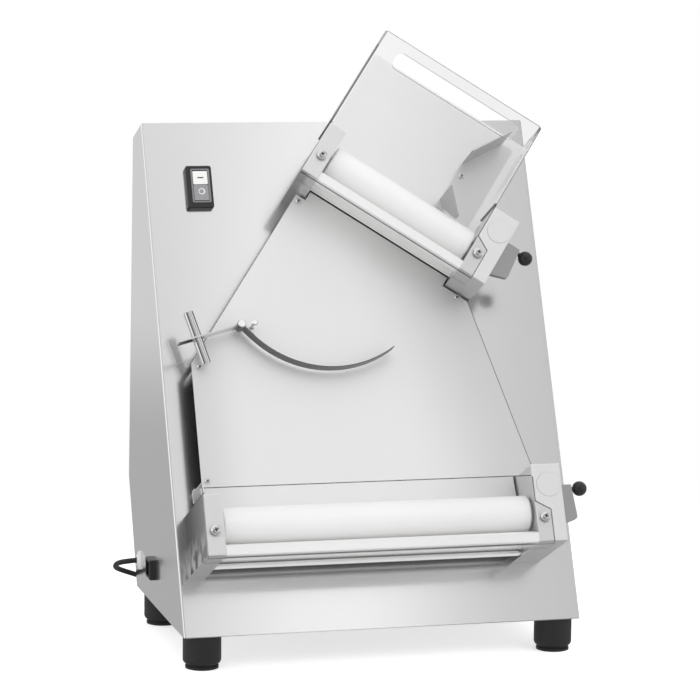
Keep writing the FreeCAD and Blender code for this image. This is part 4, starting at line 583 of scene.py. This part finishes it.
# A head's radius and height, its shank's radius and length, and the reach of its recess.
button_head, pan_head = (6.4, 3.4, 2.5, 5.6, 2.7), (3.75, 2.6, 2.0, 8.0, 2.0)
guard_screw_in, guard_screw_up, guard_front = (-26.0, 11.4), 30.0, 116.0
plate_front_w, chute_front_w = 43.5, 45.0
slide_screws = ((-68.2, 535.5), (123.2, 405.6), (-211.7, 325.0), (-214.5, 181.8), (189.5, 180.7))
chute_screw = (-88.0, 138.4)
guard_heads = []
for unit, opening in opening_width.items():
    left_end = -right_cover_width - opening - left_cover_width
    for index, p in enumerate((guard_screw_in[0], left_end + guard_screw_in[1])):
        seat = unit_point(unit, p, guard_screw_up, guard_front)
        guard_heads.append(cross_head(seat, *button_head, 0.4 + index * 0.9))
pan_heads = [cross_head(panel_point(u, v, plate_front_w), *pan_head, 0.3 + index * 0.7)
             for index, (u, v) in enumerate(slide_screws)]
pan_heads.append(cross_head(unit_point("upper", *chute_screw, chute_front_w), *pan_head, 0.2))

screw_zinc = Finish("screw_zinc", Metallic=1.0)
tarnish = screw_zinc.noise(500.0)
screw_zinc.surface(Base_Color=screw_zinc.blend(tarnish, (0.70, 0.70, 0.70), (0.84, 0.84, 0.83)),
                   Roughness=tarnish * 0.15 + 0.15)
screw_zinc.bump(tarnish, 0.00003, 0.3)
screw_shade = fine_grained("screw_shade", grey(0.20), 0.45, 900.0, 0.00004, 0.4, metallic=1.0)
for name, heads, stands_for in (("guard_screw_heads", guard_heads, "guard_screws"),
                                ("pan_screw_heads", pan_heads, "panel_screws")):
    screws = new_piece(name, join_meshes(name, heads), "housing", screw_zinc)
    screws.data.materials.append(screw_shade.material)
    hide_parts(stands_for)

# Balance arm: thin spring steel, its blade painted dark as the dark reflection it shows, with its bar and hub
# polished. It turns on the shoulder stud, and the counterweight is pressed onto its end.
arm_reflection_dark, arm_bright, hub_x, hub_blend = (0.17, 0.17, 0.175), grey(0.82), -172.0, 0.010
blade_steel = brushed("blade_steel", None, 0.28, level=True)
along_arm = blade_steel.along(ACROSS) - floor_point(hub_x, 0, 0).x
# Painted reflection: the blade is dark grey, turning to bright steel at the hub.
blade_steel.surface(Base_Color=blade_steel.blend(along_arm.fade(hub_blend, 0.0), arm_reflection_dark, arm_bright))
refinish(blade_steel, "balance_arm")

# Rollers: white food grade plastic, turned, with the faintest tool rings. Each is fixed on its own spindle
# and runs in bushes or in the sliding bearings.
roller_plastic = Finish("roller_plastic", IOR=1.5)
cloud = roller_plastic.noise(14.0, None, 3.0)
roller_plastic.surface(Base_Color=roller_plastic.blend(cloud, (0.91, 0.90, 0.90), (0.95, 0.94, 0.94)),
                       Roughness=cloud * 0.1 + 0.36)
roller_plastic.bump(roller_plastic.noise(400.0), 0.00004, 0.3)
for unit in ("lower", "upper"):
    refinish(roller_plastic, unit + "_rear_roller", unit + "_front_roller")

# Gears, sliding bearings and bushes: the gears and slides are machined from off white plastic, and the rear
# rollers' bushes are bronze, pressed into the side plates.
gear_plastic = fine_grained("gear_plastic", (0.80, 0.79, 0.75), 0.5, 500.0, 0.00005, 0.3)
bush_bronze = fine_grained("bush_bronze", (0.62, 0.42, 0.22), 0.35, 800.0, 0.00003, 0.3, metallic=1.0)
for unit in ("lower", "upper"):
    refinish(gear_plastic, unit + "_rear_gear", unit + "_front_gear", unit + "_bearing_slides")
    refinish(bush_bronze, unit + "_rear_bearings")

# Feet and belts: black rubber. The feet are moulded cups, slightly dusty, screwed up into the floor plate,
# and the belts run inside the housing.
foot_rubber = Finish("foot_rubber")
speckle = foot_rubber.noise(350.0, None, 4.0)
foot_rubber.surface(Base_Color=foot_rubber.blend(speckle, (0.010, 0.010, 0.011), (0.022, 0.022, 0.023)),
                    Roughness=speckle * 0.2 + 0.4)
foot_rubber.bump(speckle, 0.00008, 0.4)
refinish(foot_rubber, "rubber_feet", "lower_belt", "countershaft_belt", "upper_belt")

# Ball knobs, switch housing and pedal socket: glossy black moulded plastic. Each knob is screwed onto its
# lever, and the housing and the socket are clipped into cut-outs of the sheet.
black_plastic = Finish("black_plastic", Base_Color=(0.016, 0.016, 0.017))
fleck = black_plastic.noise(600.0)
black_plastic.surface(Roughness=fleck * 0.12 + 0.26)
black_plastic.bump(fleck, 0.00005, 0.3)
refinish(black_plastic, "switch_housing", "pedal_socket")
knob_radius, knob_place, knob_steps = 9.1, (30.2, 69.0, 88.75), 20
knob_profile = [(2.4, -10.6), (2.4, -9.2), (2.9, -8.7)]
for step in range(2, knob_steps):
    angle = math.pi * step / knob_steps
    knob_profile.append((knob_radius * math.sin(angle), -knob_radius * math.cos(angle)))
knob_profile.append((0.6, knob_radius))
for unit in ("lower", "upper"):
    knob_rings = round_rings(unit_point(unit, *knob_place), unit_along(unit), knob_profile, 40)
    knob = new_piece(unit + "_ball_knob", lofted(unit + "_ball_knob", knob_rings), unit + "_lever_arm",
                     black_plastic)
    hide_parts(unit + "_lever_knob")

# Scrapers: white plastic bars with a thin wiping edge, held between the side plates under each roller. What
# lies in the units' own shade behind the guards' lips is dark.
shade_depth, underside_depth, between_units = 0.0432, 0.033, 250
scraper_plastic = Finish("scraper_plastic", Roughness=0.4)
off_panel = scraper_plastic.along(OUT) - panel_point(0, 0, 0).dot(OUT)
upper_one = scraper_plastic.along(UP_PANEL) > panel_point(0, between_units, 0).dot(UP_PANEL)
turned_away = (scraper_plastic.facing(OUT) < 0.3) * (off_panel < underside_depth)
in_shade = (off_panel < shade_depth) * (upper_one | turned_away)
scraper_plastic.surface(Base_Color=scraper_plastic.blend(in_shade, (0.93, 0.93, 0.92), grey(0.02)))
scraper_plastic.bump(scraper_plastic.noise(600.0), 0.00005, 0.3)
refinish(scraper_plastic, "scrapers")

# Socket contacts: three round brass pins, pressed side by side into the bottom of the pedal socket.
# They reach outwards, well inside its rim.
contact_profile, contact_spacing = [(1.3, 0), (1.3, 6.2), (1.1, 6.8), (0.5, 7.1)], 5.5
contact_x, contact_y, contact_z, outwards = -244.1, 191.0, 87.6, Vector((-1, 0, 0))
contacts = []
for step in (-1, 0, 1):
    foot = floor_point(contact_x, contact_y + step * contact_spacing, contact_z)
    contacts.append(lofted("contact", round_rings(foot, outwards, contact_profile, 20)))
contact_brass = fine_grained("contact_brass", (0.75, 0.58, 0.28), 0.25, 800.0, 0.00002, 0.2, metallic=1.0)
new_piece("socket_contacts", join_meshes("socket_contacts", contacts), "housing", contact_brass)

# Gland and buttons: light moulded plastics. The gland is screwed into the left side, and the grey stop
# button and the white start button slide in the switch housing.
for name, colour, roughness, grains, depth, node in (
        ("gland_grey", (0.80, 0.80, 0.79), 0.45, 500.0, 0.00005, "cable_gland"),
        ("stop_grey", (0.30, 0.30, 0.31), 0.4, 700.0, 0.00004, "stop_button"),
        ("start_white", (0.86, 0.86, 0.85), 0.35, 700.0, 0.00004, "start_button")):
    refinish(fine_grained(name, colour, roughness, grains, depth, 0.3), node)


# Marks on the buttons: the usual dash for on and ring for off, raised a little on the caps, and a moulded
# grey frame round the pair, clipped over the switch housing.
def raised_outline(name, outer, inner, low, high, rounding=0.15):
    """A low raised shape on the panel inside an outline or between two, its top drawn towards the middle."""
    drawn = 1 - rounding / 50
    rings = [[panel_point(u * share, v, height) for u, v in outer]
             for share, height in ((1, low), (1, high - rounding), (drawn, high))]
    if inner:
        rings += [[panel_point(u, v, height) for u, v in inner] for height in (high, low)]
    return lofted(name, rings, closed=not inner)


def rounded_rectangle(u, v, half_width, half_height, radius, steps=6):
    """The outline of a rounded rectangle on the panel."""
    points = []
    for corner, (side, rise) in enumerate(((1, 1), (-1, 1), (-1, -1), (1, -1))):
        for step in range(steps + 1):
            angle = math.pi / 2 * (corner + step / steps)
            points.append((u + side * (half_width - radius) + radius * math.cos(angle),
                           v + rise * (half_height - radius) + radius * math.sin(angle)))
    return points


def circle_outline(u, v, radius, steps=40):
    """A round outline on the panel."""
    angles = [2 * math.pi * step / steps for step in range(steps)]
    return [(u + radius * math.cos(angle), v + radius * math.sin(angle)) for angle in angles]


button_u, start_v, pair_v, stop_v = -182.3, 580.62, 570.4, 561.0
mark_low, mark_high, frame_low, frame_high = 8.7, 9.0, 7.6, 8.5
dash_size, frame_outer, frame_inner = (3.6, 0.75, 0.3), (11.6, 22.2, 1.6), (9.6, 20.6, 0.8)
ring_place, ring_outer, ring_inner = (button_u + 0.4, stop_v + 1.6), 4.0, 3.0
mark_dark = fine_grained("mark_dark", grey(0.03), 0.5, 900.0, 0.00002, 0.2)
mark_white = fine_grained("mark_white", grey(0.85), 0.5, 900.0, 0.00002, 0.2)
frame_grey = fine_grained("frame_grey", (0.22, 0.22, 0.23), 0.45, 900.0, 0.00002, 0.2)
dash_mesh = raised_outline("start_dash", rounded_rectangle(button_u, start_v, *dash_size), None,
                           mark_low, mark_high)
ring_mesh = raised_outline("stop_ring", circle_outline(*ring_place, ring_outer),
                           circle_outline(*ring_place, ring_inner), mark_low, mark_high)
frame_mesh = raised_outline("button_frame", rounded_rectangle(button_u, pair_v, *frame_outer),
                            rounded_rectangle(button_u, pair_v, *frame_inner), frame_low, frame_high)
new_piece("start_dash", dash_mesh, "start_press", mark_dark, smooth=False)
new_piece("stop_ring", ring_mesh, "stop_press", mark_white, smooth=False)
new_piece("button_frame", frame_mesh, "housing", frame_grey, smooth=False)

# Drive: a painted cast gear motor bolted to the floor plate, and turned aluminium pulleys pinned to its
# shaft and to the roller ends.
motor_paint = fine_grained("motor_paint", (0.20, 0.22, 0.24), 0.55, 180.0, 0.0003, 0.5, detail=4.0)
refinish(motor_paint, "gear_motor")
pulley_aluminium = fine_grained("pulley_aluminium", (0.74, 0.75, 0.76), 0.3, 600.0, 0.00004, 0.3,
                                metallic=1.0)
refinish(pulley_aluminium, "motor_pulleys", "lower_roller_pulley", "upper_roller_pulley")


# Guards: clear acrylic sheet, 3 mm thick, bent into a hood and screwed over each unit. The sawn edges and a
# line round the front's outline are painted near black as shade, standing in for the dark look of light bent
# at clear edges, and the faces are slightly tinted. All lengths are in metres here.
front_face, lip_face, face_on = 0.113 - 0.0004, 0.0001, 0.9
side_edge, tab_edge, tab_top, tab_slope = -right_cover_width / 1000, -0.0175, 0.049, 0.588
line_width, line_lap, line_strength = 0.0009, 0.0001, 0.9
grip_half_width, grip_half_height = 0.0893, 0.013
sawn_flat, clearance = 0.0007, 0.00006


def clear_acrylic(name, unit, grip_middle, top_line):
    """Clear sheet whose cut edges are told from its faces by where they lie and which way they face."""
    finish = Finish(name, IOR=1.49, Transmission_Weight=1.0)
    base = panel_point(*unit_corner[unit], 0)
    reach = finish.along(unit_along(unit)) - base.dot(unit_along(unit))
    height = finish.along(unit_rise(unit)) - base.dot(unit_rise(unit))
    front = (finish.along(OUT) - base.dot(OUT)) > front_face
    below = height < lip_face
    lip, cheek = (1 - front) * below, (1 - front) * (1 - below)
    sawn = (front * (abs(finish.facing(OUT)) < face_on)
            + lip * (abs(finish.facing(unit_rise(unit))) < face_on)
            + cheek * (abs(finish.facing(unit_along(unit))) < face_on))
    at_grip = ((abs(reach - grip_middle[0]) < grip_half_width)
               * (abs(height - grip_middle[1]) < grip_half_height))
    side_line = (reach > side_edge - line_width) * (height > tab_top)
    end_line = reach > tab_edge - line_width
    tab_line = (reach > side_edge) * (height + (reach - side_edge) * tab_slope > tab_top - line_lap)
    outline = (side_line | end_line | tab_line | (height > top_line)) * front * line_strength
    # Painted shade: sawn edges and the outline line are near black.
    edge = (sawn * (1 - at_grip)) | outline
    finish.surface(Base_Color=finish.blend(edge, grey(0.895), grey(0.02)), Roughness=edge * 0.25 + 0.02)
    finish.bump(finish.noise(900.0) * edge, 0.00003, 0.2)
    soft_ray = finish.node("LightPath", out="Is Shadow Ray") | finish.node("LightPath", out="Is Diffuse Ray")
    seen_through = finish.node("LightPath", out="Is Transmission Ray")
    bounced = finish.node("LightPath", out="Is Glossy Ray") * (1 - seen_through)
    lets_light = finish.node("BsdfTransparent", None, grey(0.985))
    open_share = soft_ray | bounced | (lip * 0.8)
    finish.show(finish.node("MixShader", None, open_share, finish.principled, lets_light))
    return finish


for unit, grip_middle, top_line in (("lower", (0, 1), 0.0811), ("upper", (-0.1502, 0.1945), 1.0)):
    refinish(clear_acrylic(unit + "_acrylic", unit, grip_middle, top_line), unit + "_guard")
    clear_of_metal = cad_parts[unit + "_guard"].modifiers.new("clear_of_metal", "DISPLACE")
    clear_of_metal.mid_level, clear_of_metal.strength = 0.0, -clearance
    round_edges(unit + "_guard", sawn_flat)

# Studio floor: a pale painted floor that fades into white away from the machine. Mirrors see a duller floor
# than the camera does.
floor_corners = [(-8, -8, 0), (8, -8, 0), (8, 8, 0), (-8, 8, 0)]
white_reach, mirror_reach = (0.45, 1.1), (1.5, 3.2)
floor_mesh = bpy.data.meshes.new("studio_floor")
floor_mesh.from_pydata(floor_corners, [], [(0, 1, 2, 3)])
studio_floor = bpy.data.objects.new("studio_floor", floor_mesh)
bpy.context.scene.collection.objects.link(studio_floor)
floor_paint = Finish("floor_paint", Base_Color=grey(0.86), Roughness=0.8)
distance = floor_paint.node("VectorMath", {"operation": "LENGTH"},
                            floor_paint.node("NewGeometry", out="Position"), out="Value")
direct = (floor_paint.node("LightPath", out="Is Camera Ray")
          | floor_paint.node("LightPath", out="Is Transmission Ray"))
glow = floor_paint.node("Emission", None, grey(1), 0.55)
lifted = floor_paint.node("AddShader", None, floor_paint.principled, glow)
plain_white = floor_paint.node("Emission", None, grey(1), 1.0)
faded = floor_paint.node("MixShader", None, distance.fade(*white_reach), lifted, plain_white)
pale = floor_paint.blend(distance.fade(*mirror_reach), grey(0.46), grey(0.70))
reflected = floor_paint.node("MixShader", None, floor_paint.node("LightPath", out="Is Glossy Ray"),
                             floor_paint.principled, floor_paint.node("Emission", None, pale, 1.0))
floor_paint.show(floor_paint.node("MixShader", None, direct, reflected, faded))
floor_mesh.materials.append(floor_paint.material)


# Studio surround: white to the camera and softly white as light. Mirrors see a grey room with a bright band
# high in front, a dim place where the camera stands and a dark flag behind the right side.
class Surround(Finish):
    """The world's nodes, made in the same way."""

    def __init__(self, name):
        self.world = bpy.data.worlds.new(name)
        self.world.use_nodes = True
        self.tree = self.world.node_tree
        self.tree.nodes.clear()
        self.output = self.tree.nodes.new("ShaderNodeOutputWorld")
        self.ray = self.node("TexCoord", out="Generated")

    def toward(self, direction, start, end):
        """How near a ray runs to a direction, from 0 to 1."""
        towards = tuple(Vector(direction).normalized())
        nearness = self.node("VectorMath", {"operation": "DOT_PRODUCT"}, self.ray, towards, out="Value")
        return nearness.fade(start, end)


studio = Surround("studio")
bpy.context.scene.world = studio.world
ray_x, ray_y, ray_z = [studio.node("SeparateXYZ", None, studio.ray, out=axis) for axis in "XYZ"]
band_stops = ((0.0, 0.62), (0.30, 0.62), (0.47, 1.66), (0.62, 1.66), (0.76, 0.54), (1.0, 0.50))
band = studio.node("ValToRGB", {"stops": [(place, grey(value)) for place, value in band_stops]},
                   ray_x.ramp(0.14, 0.34))
high_left = ray_z.fade(0.62, 0.74) * ray_x.fade(0.26, 0.22)
band = studio.blend(high_left * 0.9, band, grey(0.88))
tone = studio.blend((ray_z - ray_y * 0.5).fade(0.62, 0.88), grey(0.92), band)
level_front = (ray_y * -1.0 - abs(ray_z - 0.1)).fade(0.55, 0.85)
camera_side = studio.toward((-0.2555, -0.956, 0.143), 0.84, 0.99)
overhead = ray_z.fade(0.75, 0.95)
behind = studio.toward((-0.25, 0.95, -0.05), 0.5, 0.95)
far_left = studio.toward((-0.93, -0.09, 0.30), 0.90, 0.98)
flag = studio.toward((0.93, 0.34, 0.14), 0.92, 0.98)
for part, value in ((level_front, 0.62), (camera_side, 0.12), (overhead, 1.0), (behind, 0.70),
                    (far_left, 1.3), (flag, 0.16)):
    tone = studio.blend(part, tone, grey(value))
soft_surround, mirror_surround, white_surround = [studio.node("Background", None, colour, 1.0)
                                                  for colour in (grey(0.98), tone, grey(1))]
plain = studio.node("MixShader", None, studio.node("LightPath", out="Is Glossy Ray"), soft_surround,
                    mirror_surround)
direct = studio.node("LightPath", out="Is Camera Ray") | studio.node("LightPath", out="Is Transmission Ray")
studio.show(studio.node("MixShader", None, direct, plain, white_surround))

# Lamps: two broad soft boxes, one high in front on the right and one overhead. Mirrors and clear sheet
# don't see them.
lamp_aim = Vector((0, 0, 0.4))
for name, spot, size, power in (("key_lamp", (1.8, -3.2, 3.2), 2.4, 34.0),
                                ("top_lamp", (0.6, 0.2, 3.6), 3.0, 10.0)):
    lamp_data = bpy.data.lights.new(name, "AREA")
    lamp_data.size, lamp_data.energy = size, power
    lamp = bpy.data.objects.new(name, lamp_data)
    lamp.location = spot
    lamp.rotation_euler = (lamp_aim - Vector(spot)).to_track_quat("-Z", "Y").to_euler()
    lamp.visible_glossy = lamp.visible_transmission = False
    bpy.context.scene.collection.objects.link(lamp)
bpy.context.scene.view_settings.view_transform = "Standard"
